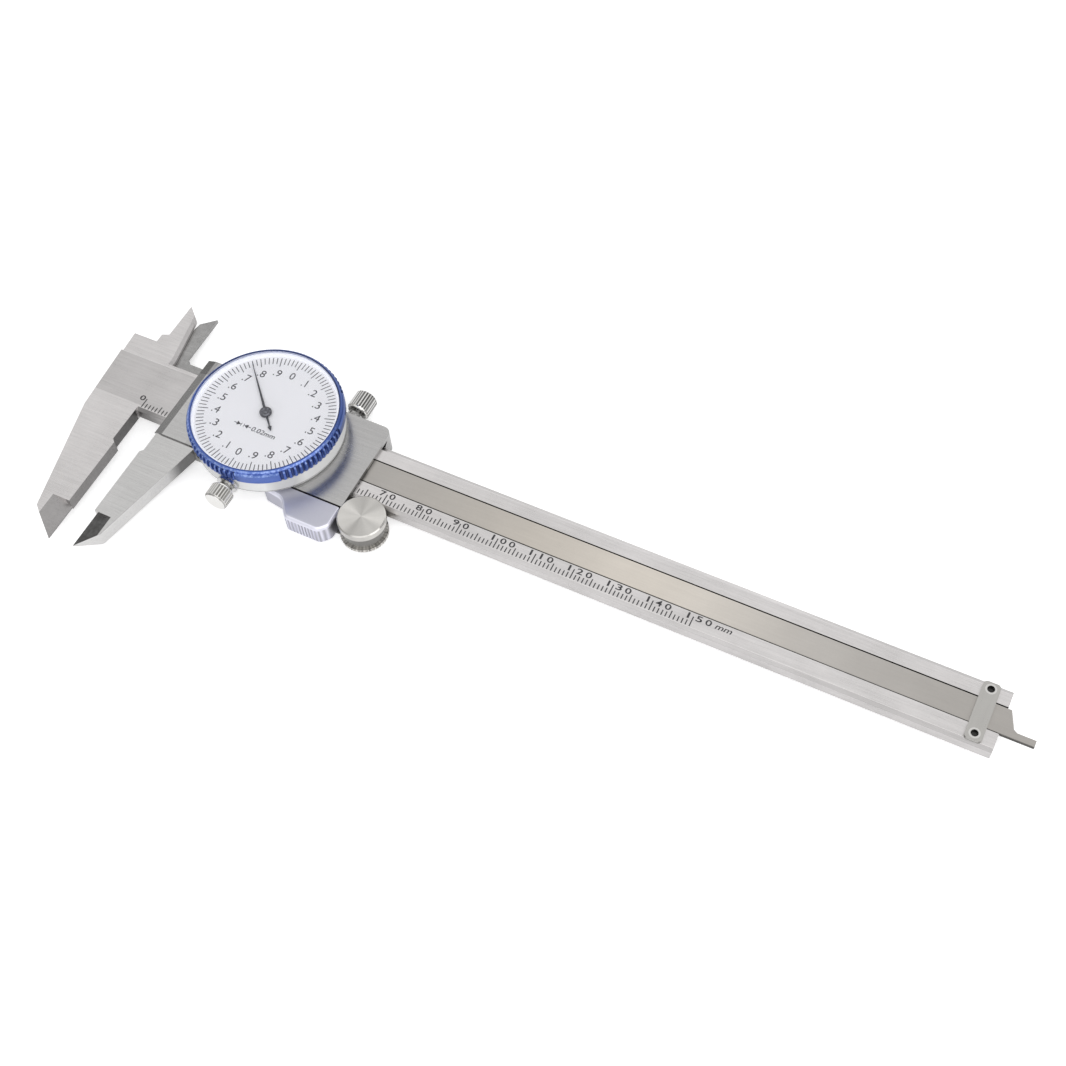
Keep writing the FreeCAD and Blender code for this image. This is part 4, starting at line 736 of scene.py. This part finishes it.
WHEEL_METAL = WheelSteel(
    "wheel_metal", (0.58, 0.565, 0.54), centre=(33.6, -13.4), roughness=0.2, relief=0.03,
    pitch=0.2)
LOCK_NICKEL = KnobNickel(
    "lock_nickel", (0.76, 0.74, 0.71), axis=Axis.Y, centre=(15.5, 3.6), roughness=0.14)
CLAMP_NICKEL = KnobNickel(
    "clamp_nickel", (0.81, 0.78, 0.71), axis=Axis.Y, centre=(0.0, 8.45), roughness=0.16,
    start=20.91, end=25.21, knurl_shade=0.42)
WASHER_NICKEL = TurnedMetal(
    "washer_nickel", (0.76, 0.75, 0.74), axis=Axis.Y, centre=(0.0, 8.45), roughness=0.16)
GEAR_BRASS = TurnedMetal("gear_brass", (0.70, 0.50, 0.20), centre=(-9.0, 0.0), roughness=0.26)
ARBOR_BRASS = TurnedMetal("arbor_brass", (0.70, 0.50, 0.20), roughness=0.26)
STRIP_BRASS = GroundSteel("strip_brass", (0.68, 0.48, 0.20), roughness=0.34)
SPRING_STEEL = TurnedMetal("spring_steel", (0.30, 0.31, 0.35), roughness=0.25)
BLUE_RING = BezelBlue("blue_ring", (0.06, 0.125, 0.46))
GRIP_BLUE = BezelBlue(
    "grip_blue", (0.07, 0.14, 0.47), notch=19.2, rim=13.85, top=14.3, inside=18.3)
DIAL_WHITE = Enamel("dial_white_lacquer", (0.95, 0.945, 0.95), roughness=0.42, spread=0.02)
# The seat ring's glow is painted light, standing in for the light that the bezel shades off it.
SEAT_WHITE = Enamel("seat_white", (0.93, 0.94, 0.98), roughness=0.35, spread=0.03, glow=0.28)
INK = Enamel("black_ink", (0.035, 0.034, 0.037), roughness=0.55, spread=0.35)
DIAL_INK = Enamel("dial_ink", (0.05, 0.048, 0.052), spread=0.3)
HAND_BLACK = HandBlack("hand_black", (0.05, 0.05, 0.056), roughness=0.34, spread=0.4)
CRYSTAL = ClearGlass("crystal_clear", (0.99, 0.99, 0.995))


def linked(name: str, data: bpy.types.ID) -> bpy.types.Object:
    """Make an object of its data and link it to the scene."""
    item = bpy.data.objects.new(name, data)
    bpy.context.scene.collection.objects.link(item)
    return item


def solid(name: str, corners: Sequence[Any], faces: Sequence[Sequence[int]]) -> Mesh:
    """Make a mesh of corners in metres and faces."""
    mesh = bpy.data.meshes.new(name)
    mesh.from_pydata(corners, [], faces)
    mesh.update()
    return mesh


class Workshop:
    """Helpers that make meshes and dress the frame's nodes."""

    def __init__(self, frame: Dict[str, Any]) -> None:
        """Keep the loaded frame."""
        self.frame = frame

    def dress(self, node: str, finish: Finish) -> None:
        """Give one of the frame's nodes its finish.

        Args:
            node: The node's name.
            finish: Its finish.
        """
        item = self.frame["nodes"][node]
        item.data.materials.clear()
        item.data.materials.append(finish.material())
        log.info("node %s: %s", node, finish.name)

    def dress_all(self, finishes: Dict[str, Finish]) -> None:
        """Give each named node its finish."""
        for node, finish in finishes.items():
            self.dress(node, finish)

    def piece(self, name: str, mesh: Mesh, finish: Finish, body: str) -> bpy.types.Object:
        """Make an object of a finished mesh and let it ride on a body.

        Args:
            name: The piece's name.
            mesh: Its mesh, in metres and in place.
            finish: Its finish.
            body: The body that carries it.

        Returns:
            The piece.
        """
        mesh.materials.clear()
        mesh.materials.append(finish.material())
        made = linked(name, mesh)
        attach(made, body)
        log.info("piece %s: %d faces on %s", name, len(mesh.polygons), body)
        return made

    def evaluated(self, item: bpy.types.Object) -> Mesh:
        """Take an object's finished mesh and remove the object.

        Args:
            item: An object with live modifiers, or a text.

        Returns:
            A plain mesh.
        """
        graph = bpy.context.evaluated_depsgraph_get()
        mesh = bpy.data.meshes.new_from_object(item.evaluated_get(graph))
        bpy.data.objects.remove(item)
        return mesh

    def joined(self, name: str, meshes: Sequence[Mesh]) -> Mesh:
        """Join several meshes into one.

        Args:
            name: Name of the new mesh.
            meshes: The meshes, which are removed.

        Returns:
            The joined mesh.
        """
        corners: List[Vector] = []
        faces: List[List[int]] = []
        for mesh in meshes:
            start = len(corners)
            corners += [vertex.co.copy() for vertex in mesh.vertices]
            faces += [[start + index for index in face.vertices] for face in mesh.polygons]
            bpy.data.meshes.remove(mesh)
        return solid(name, corners, faces)


@dataclass(frozen=True)
class Figure:
    """One printed word or figure, with the size and the middle of its outline."""

    text: str
    middle: Pair
    height: float
    width: float = 0.0
    slant: float = 0.0
    weight: float = 0.0

    def mesh(self, shop: Workshop, level: float, thickness: float) -> Mesh:
        """Make the lettering lie flat at a level.

        Args:
            shop: The workshop.
            level: Its top.
            thickness: Its thickness.

        Returns:
            A mesh in metres.
        """
        curve = bpy.data.curves.new("figure", "FONT")
        curve.body = self.text
        curve.size = 1.0
        curve.extrude = 0.5
        curve.resolution_u = 4
        curve.offset = self.weight
        item = linked("figure", curve)
        bpy.context.view_layer.update()
        mesh = shop.evaluated(item)
        bpy.data.curves.remove(curve)
        xs = [vertex.co.x for vertex in mesh.vertices]
        ys = [vertex.co.y for vertex in mesh.vertices]
        tall = self.height / (max(ys) - min(ys))
        wide = self.width / (max(xs) - min(xs)) if self.width else tall
        centre = Vector(((max(xs) + min(xs)) / 2, (max(ys) + min(ys)) / 2, 0))
        for vertex in mesh.vertices:
            flat = vertex.co - centre
            y = flat.y * tall
            vertex.co = Vector((
                self.middle[0] + flat.x * wide + y * self.slant,
                self.middle[1] + y,
                level - thickness * (0.5 - flat.z))) * MM
        mesh.update()
        return mesh


class MarkTree:
    """A geometry tree that lays out division marks, in a row or round a ring."""

    LENGTHS = ("Short", "Middle", "Long")

    def __init__(self, name: str, ring: bool) -> None:
        """Build the tree.

        Args:
            name: The tree's name.
            ring: True for marks round a ring, and False for a row.
        """
        self.tree = bpy.data.node_groups.new(name, "GeometryNodeTree")
        self.sockets: Dict[str, str] = {}
        nodes = Nodes(self.tree)
        kinds = {"Count": "NodeSocketInt", "Material": "NodeSocketMaterial"}
        names = ("Count", "Pitch", "Radius", "Width", *self.LENGTHS, "Thickness", "Low", "Left",
                 "Level", "Material")
        for label in names:
            made = self.tree.interface.new_socket(
                name=label, in_out="INPUT", socket_type=kinds.get(label, "NodeSocketFloat"))
            self.sockets[label] = made.identifier
        self.tree.interface.new_socket(
            name="Geometry", in_out="OUTPUT", socket_type="NodeSocketGeometry")
        given = {label: nodes.add("NodeGroupInput", out=label) for label in names}
        index = nodes.add("GeometryNodeInputIndex")
        length = given["Short"] + (index % 5.0 < 0.5) * (given["Middle"] - given["Short"])
        length = length + (index % 10.0 < 0.5) * (given["Long"] - given["Middle"])
        step = index * given["Pitch"]
        if ring:
            x = step.math("SINE", step) * given["Radius"]
            y = step.math("COSINE", step) * given["Radius"]
            turned = 0.0 - step
        else:
            x = given["Left"] + step
            y = given["Low"] + 0.0
            turned = step * 0.0
        points = nodes.add("GeometryNodeMeshLine", None, {"Count": given["Count"]})
        place = nodes.add("ShaderNodeCombineXYZ", None, {0: x, 1: y, 2: given["Level"]})
        points = nodes.add("GeometryNodeSetPosition", None, {"Geometry": points, "Position": place})
        bar = nodes.add("GeometryNodeMeshCube", None, {"Size": (1.0, 1.0, 1.0)})
        shift = (0.0, -0.5 if ring else 0.5, -0.5)
        bar = nodes.add("GeometryNodeTransform", None, {"Geometry": bar, "Translation": shift})
        turn = nodes.add("ShaderNodeCombineXYZ", None, {2: turned})
        size = nodes.add(
            "ShaderNodeCombineXYZ", None, {0: given["Width"], 1: length, 2: given["Thickness"]})
        marks = nodes.add("GeometryNodeInstanceOnPoints", None, {
            "Points": points, "Instance": bar, "Rotation": turn, "Scale": size})
        marks = nodes.add("GeometryNodeRealizeInstances", None, {0: marks})
        marks = nodes.add(
            "GeometryNodeSetMaterial", None, {"Geometry": marks, "Material": given["Material"]})
        nodes.add("NodeGroupOutput", None, {0: marks})

    def mesh(self, shop: Workshop, values: Dict[str, Any]) -> Mesh:
        """Run the tree and take its result as a plain mesh.

        Args:
            shop: The workshop.
            values: The tree's inputs by name, with lengths in metres.

        Returns:
            The marks.
        """
        host = linked("marks_host", bpy.data.meshes.new("marks_host"))
        modifier = host.modifiers.new("marks", "NODES")
        modifier.node_group = self.tree
        for label, value in values.items():
            modifier[self.sockets[label]] = value
        bpy.context.view_layer.update()
        return shop.evaluated(host)


@dataclass
class Beam:
    """The beam with its jaws, its printed scale, its rack and its end stop."""

    jaw_face: float = -34.56
    front: float = 5.35
    ink: float = 0.02
    mark_low: float = -6.97
    mark_lengths: Point = (1.42, 2.05, 2.7)
    mark_width: float = 0.27
    figure_middle: float = -4.36
    figure_height: float = 1.55
    figure_places: Point = (-1.2, 1.45, 3.75)

    def build(self, shop: Workshop) -> None:
        """Dress the beam's nodes and print its scale."""
        shop.dress_all({"beam": JAW_STEEL, "rack": RACK_STEEL, "end_stop_plate": STOP_STEEL,
                        "end_stop_screws": STOP_SCREW})
        self.marks(shop)
        self.figures(shop)

    def marks(self, shop: Workshop) -> None:
        """Print a mark at each millimetre."""
        short, middle, long = self.mark_lengths
        mesh = MarkTree("scale_mark_row", ring=False).mesh(shop, {
            "Count": 151, "Pitch": 1.0 * MM, "Width": self.mark_width * MM, "Short": short * MM,
            "Middle": middle * MM, "Long": long * MM, "Thickness": 2 * self.ink * MM,
            "Low": self.mark_low * MM, "Left": self.jaw_face * MM,
            "Level": (self.front + self.ink) * MM, "Material": INK.material()})
        shop.piece("scale_marks", mesh, INK, "beam")

    def figures(self, shop: Workshop) -> None:
        """Print the figures, which straddle their marks, and the unit."""
        figures = []
        for number in range(0, 160, 10):
            text = str(number)
            for digit, shift in zip(text, self.figure_places):
                width, weight = (0.5, 0.0) if digit == "1" else (1.5, 0.014)
                figures.append(Figure(
                    digit, (self.jaw_face + number + shift, self.figure_middle),
                    self.figure_height, width, weight=weight))
        figures.append(Figure(
            "mm", (self.jaw_face + 157.5, -4.6), 0.98, 3.9, slant=0.25, weight=0.01))
        meshes = [item.mesh(shop, self.front + self.ink, 2 * self.ink) for item in figures]
        shop.piece("scale_figures", shop.joined("scale_figures", meshes), INK, "beam")


@dataclass
class Slider:
    """The slider, its back, gib and thumb rest, and the depth bar it carries."""

    def build(self, shop: Workshop) -> None:
        """Dress the slider's nodes."""
        shop.dress_all({
            "slider_frame": PLATE_STEEL, "back_plate": BACK_STEEL,
            "back_plate_screws": SCREW_STEEL, "gib_strip": STRIP_BRASS,
            "gib_screws": SCREW_STEEL, "depth_bar": BAR_STEEL, "depth_bar_screws": SCREW_STEEL,
            "depth_bar_spacers": STRIP_BRASS, "thumb_rest": REST_METAL,
            "thumb_rest_pins": PIN_STEEL, "wheel_axle": PIN_STEEL, "thumb_wheel": WHEEL_METAL,
            "lock_screw": LOCK_NICKEL, "bezel_clamp_screw": CLAMP_NICKEL,
            "clamp_washer": WASHER_NICKEL})


@dataclass
class Movement:
    """The wheels and the bridge inside the dial."""

    def build(self, shop: Workshop) -> None:
        """Dress the movement's nodes."""
        shop.dress_all({
            "rack_pinion_arbor": GEAR_BRASS, "drive_gear": GEAR_BRASS,
            "antibacklash_gear": GEAR_BRASS, "scissor_spring": SPRING_STEEL,
            "centre_arbor": ARBOR_BRASS, "movement_bridge": STRIP_BRASS,
            "bridge_posts": ARBOR_BRASS, "bridge_screws": SCREW_STEEL,
            "bridge_bushes": ARBOR_BRASS, "case_bushes": ARBOR_BRASS})


@dataclass
class Dial:
    """The case, the bezel, the crystal, the printed face and the pointer."""

    face_top: float = 13.25
    ink: float = 0.02
    mark_outside: float = 17.25
    mark_lengths: Point = (1.9, 2.6, 2.6)
    mark_width: float = 0.2
    figure_radius: float = 12.58
    figure_height: float = 2.1
    grip_radius: float = 19.5
    grip_foot: float = 18.52
    grip_low: float = 11.5
    grip_high: float = 14.25
    grip_slope: float = 0.3
    notch_turn: float = 42.7
    notch_step: float = 4.2
    notch_row: int = 14
    notch_rows: int = 4
    notch_half: float = 1.35

    def build(self, shop: Workshop) -> None:
        """Dress the dial's nodes and print its face."""
        shop.dress_all({
            "dial_case": CASE_METAL, "bezel_ring": BLUE_RING,
            "bezel_retaining_ring": SPRING_STEEL, "crystal": CRYSTAL,
            "crystal_seat": SEAT_WHITE, "dial_face": DIAL_WHITE, "pointer_hand": HAND_BLACK})
        self.marks(shop)
        self.figures(shop)
        self.grip(shop)

    def marks(self, shop: Workshop) -> None:
        """Print a hundred marks round the face."""
        short, middle, long = self.mark_lengths
        mesh = MarkTree("dial_mark_ring", ring=True).mesh(shop, {
            "Count": 100, "Pitch": math.tau / 100, "Radius": self.mark_outside * MM,
            "Width": self.mark_width * MM, "Short": short * MM, "Middle": middle * MM,
            "Long": long * MM, "Thickness": 2 * self.ink * MM,
            "Level": (self.face_top + self.ink) * MM, "Material": DIAL_INK.material()})
        shop.piece("dial_marks", mesh, DIAL_INK, "bezel")

    def figures(self, shop: Workshop) -> None:
        """Print the two rounds of figures, and the value of a division."""
        figures = []
        for index in range(20):
            angle = math.radians(90 - 18 * index)
            digit = index % 10
            middle = (self.figure_radius * math.cos(angle), self.figure_radius * math.sin(angle))
            if digit:
                width = 1.3 if digit == 1 else 1.95
                figures.append(Figure(f".{digit}", middle, self.figure_height, width))
            else:
                figures.append(Figure("0", middle, self.figure_height, 1.3))
        figures.append(Figure("0.02mm", (2.6, -5.4), 1.35, 6.6, slant=0.1, weight=0.008))
        level = self.face_top + self.ink
        meshes = [item.mesh(shop, level, 2 * self.ink) for item in figures]
        meshes.append(self.division_sign(level))
        shop.piece("dial_figures", shop.joined("dial_figures", meshes), DIAL_INK, "bezel")

    def grip_outline(self) -> List[Pair]:
        """Go round the grip: its radius at each angle, with the notches left open.

        Returns:
            Angles in degrees, rising, each with the grip's radius there.
        """
        outline = []
        for row in range(self.notch_rows):
            for index in range(self.notch_row):
                middle = self.notch_turn + 360.0 / self.notch_rows * row + self.notch_step * index
                for shift, radius in ((-self.notch_half - 0.1, self.grip_radius),
                                      (-self.notch_half, self.grip_foot),
                                      (self.notch_half, self.grip_foot),
                                      (self.notch_half + 0.1, self.grip_radius)):
                    outline.append((middle + shift, radius))
            plain = 360.0 / self.notch_rows - self.notch_step * (self.notch_row - 1)
            start = middle + self.notch_half + 0.1
            length = plain - 2 * (self.notch_half + 0.1)
            steps = 12
            for index in range(1, steps):
                outline.append((start + length * index / steps, self.grip_radius))
        return outline

    def grip(self, shop: Workshop) -> None:
        """Raise the flared grip that stands round the bezel between its notches."""
        corners: List[Point] = []
        faces: List[List[int]] = []
        outline = self.grip_outline()
        for angle, radius in outline:
            shoulder = max(self.grip_foot, radius - self.grip_slope)
            profile = ((self.grip_foot - 0.02, self.grip_low), (shoulder, self.grip_low),
                       (radius, self.grip_low + self.grip_slope),
                       (radius, self.grip_high - 2 * self.grip_slope),
                       (shoulder, self.grip_high), (self.grip_foot - 0.02, self.grip_high))
            turn = math.radians(angle)
            corners += [(reach * math.cos(turn) * MM, reach * math.sin(turn) * MM, level * MM)
                        for reach, level in profile]
        count = 6
        for index in range(len(outline)):
            here, there = index * count, (index + 1) % len(outline) * count
            for side in range(count):
                after = (side + 1) % count
                faces.append([here + side, here + after, there + after, there + side][::-1])
        mesh = solid("bezel_grip", corners, faces)
        shop.piece("bezel_grip", mesh, GRIP_BLUE, "bezel")

    def division_sign(self, level: float) -> Mesh:
        """Draw two arrows that point at one division.

        Args:
            level: The top of the ink.

        Returns:
            The sign's mesh.
        """
        line = -5.35
        shapes = [
            [(-5.75, line - 0.1), (-4.9, line - 0.1), (-4.9, line + 0.1), (-5.75, line + 0.1)],
            [(-4.95, line - 0.6), (-3.9, line), (-4.95, line + 0.6)],
            [(-3.85, line - 0.5), (-3.7, line - 0.5), (-3.7, line + 0.5), (-3.85, line + 0.5)],
            [(-3.1, line - 0.5), (-2.95, line - 0.5), (-2.95, line + 0.5), (-3.1, line + 0.5)],
            [(-2.9, line), (-1.85, line - 0.6), (-1.85, line + 0.6)],
            [(-1.9, line - 0.1), (-1.05, line - 0.1), (-1.05, line + 0.1), (-1.9, line + 0.1)],
        ]
        corners: List[Point] = []
        faces: List[List[int]] = []
        for shape in shapes:
            start, count = len(corners), len(shape)
            corners += [(x * MM, y * MM, (level - 2 * self.ink) * MM) for x, y in shape]
            corners += [(x * MM, y * MM, level * MM) for x, y in shape]
            faces.append([start + index for index in reversed(range(count))])
            faces.append([start + count + index for index in range(count)])
            for index in range(count):
                after = (index + 1) % count
                faces.append([start + index, start + after, start + count + after,
                              start + count + index])
        return solid("division_sign", corners, faces)


@dataclass
class Studio:
    """The camera, the lamps, the pale floor and the pale surroundings."""

    eye: Point = (173.097, -172.499, 316.603)
    right: Point = (0.895077, 0.443808, -0.043256)
    down: Point = (0.352926, -0.764378, -0.539602)
    forward: Point = (-0.272544, 0.467719, -0.840809)
    focal: float = 1566.73
    picture: float = 1066.0
    sensor: float = 36.0
    middle: Point = (50.0, 0.0, 5.0)
    floor_half: float = 3.0
    lamps: Tuple[Tuple[str, Point, float, float], ...] = (
        ("key", (200.0, -560.0, 520.0), 860.0, 1.5), ("side", (620.0, -120.0, 300.0), 480.0, 0.9))

    def build(self) -> None:
        """Set up the whole studio."""
        self.camera()
        self.floor()
        self.surroundings()
        for name, place, size, power in self.lamps:
            self.lamp(name, place, size, power)
        bpy.context.scene.view_settings.view_transform = "Standard"

    def camera(self) -> None:
        """Place the camera at the photograph's eye."""
        data = bpy.data.cameras.new("camera")
        data.sensor_width = self.sensor
        data.lens = self.focal / self.picture * self.sensor
        data.clip_start = 0.01
        data.clip_end = 20.0
        camera = linked("camera", data)
        up = [-value for value in self.down]
        back = [-value for value in self.forward]
        turn = Matrix((self.right, up, back)).transposed()
        camera.matrix_world = Matrix.Translation(Vector(self.eye) * MM) @ turn.to_4x4()
        bpy.context.scene.camera = camera

    def lamp(self, name: str, place: Point, size: float, power: float) -> None:
        """Add a soft square lamp that points at the middle of the caliper.

        Args:
            name: The lamp's name.
            place: Where it hangs.
            size: Its side.
            power: Its power in watts.
        """
        data = bpy.data.lights.new(name, "AREA")
        data.shape = "SQUARE"
        data.size = size * MM
        data.energy = power
        lamp = linked(name, data)
        lamp.location = Vector(place) * MM
        aim = Vector(self.middle) * MM - lamp.location
        lamp.rotation_euler = aim.to_track_quat("-Z", "Y").to_euler()

    def floor(self) -> None:
        """Lay the pale floor, which keeps the caliper's shadow."""
        half = self.floor_half
        corners = [(-half, -half, 0), (half, -half, 0), (half, half, 0), (-half, half, 0)]
        mesh = solid("floor", corners, [(0, 1, 2, 3)])
        floor = linked("floor", mesh)
        material = bpy.data.materials.new("floor_pale")
        material.use_nodes = True
        nodes = Nodes(material.node_tree)
        camera, glossy = nodes.rays("Camera", "Glossy")
        cloud = nodes.noise(nodes.add("ShaderNodeTexCoord", out="Object"), 2.0)
        pale = nodes.mix(cloud, (0.86, 0.86, 0.865), (0.88, 0.88, 0.885))
        matt = nodes.add("ShaderNodeBsdfDiffuse", None, {"Color": pale})
        glow = nodes.add("ShaderNodeEmission", None, {
            "Color": WHITE, "Strength": camera * 0.5 + glossy * 0.2})
        both = nodes.add("ShaderNodeAddShader", None, {0: matt, 1: glow})
        nodes.add("ShaderNodeOutputMaterial", None, {"Surface": both})
        mesh.materials.append(material)

    def surroundings(self) -> None:
        """Light the room softly, and show it white to the camera, to metal and to glass."""
        world = bpy.data.worlds.new("surroundings")
        world.use_nodes = True
        bpy.context.scene.world = world
        nodes = Nodes(world.node_tree)
        camera, glossy, through = nodes.rays("Camera", "Glossy", "Transmission")
        _, depth, height = nodes.parts(nodes.add("ShaderNodeTexCoord", out="Generated"))
        ceiling = nodes.ramp(
            height, (0.0, 0.24), (0.2, 0.3), (0.5, 0.58), (0.72, 0.93), (1.0, 0.98))
        wall = nodes.ramp(depth, (0.55, 0.0), (0.85, 0.85))
        front = nodes.ramp(0.0 - depth, (0.5, 0.0), (0.8, 0.45))
        room = ceiling + (wall + front) * nodes.ramp(height, (0.05, 1.0), (0.7, 0.0))
        seen = camera.math("MINIMUM", camera + through, 1.0)
        strength = 0.8 * (1.0 - seen) * (1.0 - glossy) + seen + room * glossy * (1.0 - seen)
        sky = nodes.add("ShaderNodeBackground", None, {
            "Color": WHITE, "Strength": strength})
        nodes.add("ShaderNodeOutputWorld", None, {"Surface": sky})


def corners(box: Tuple[Vector, Vector]) -> List[List[float]]:
    """Turn a box into plain lists."""
    return [list(box[0]), list(box[1])]


def main() -> None:
    """Build the caliper's looks on its frame."""
    logging.basicConfig(level=logging.INFO, format="%(name)s: %(message)s")
    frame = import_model()
    shop = Workshop(frame)
    for part in (Beam(), Slider(), Movement(), Dial()):
        part.build(shop)
    Studio().build()


if __name__ == "__main__":
    main()
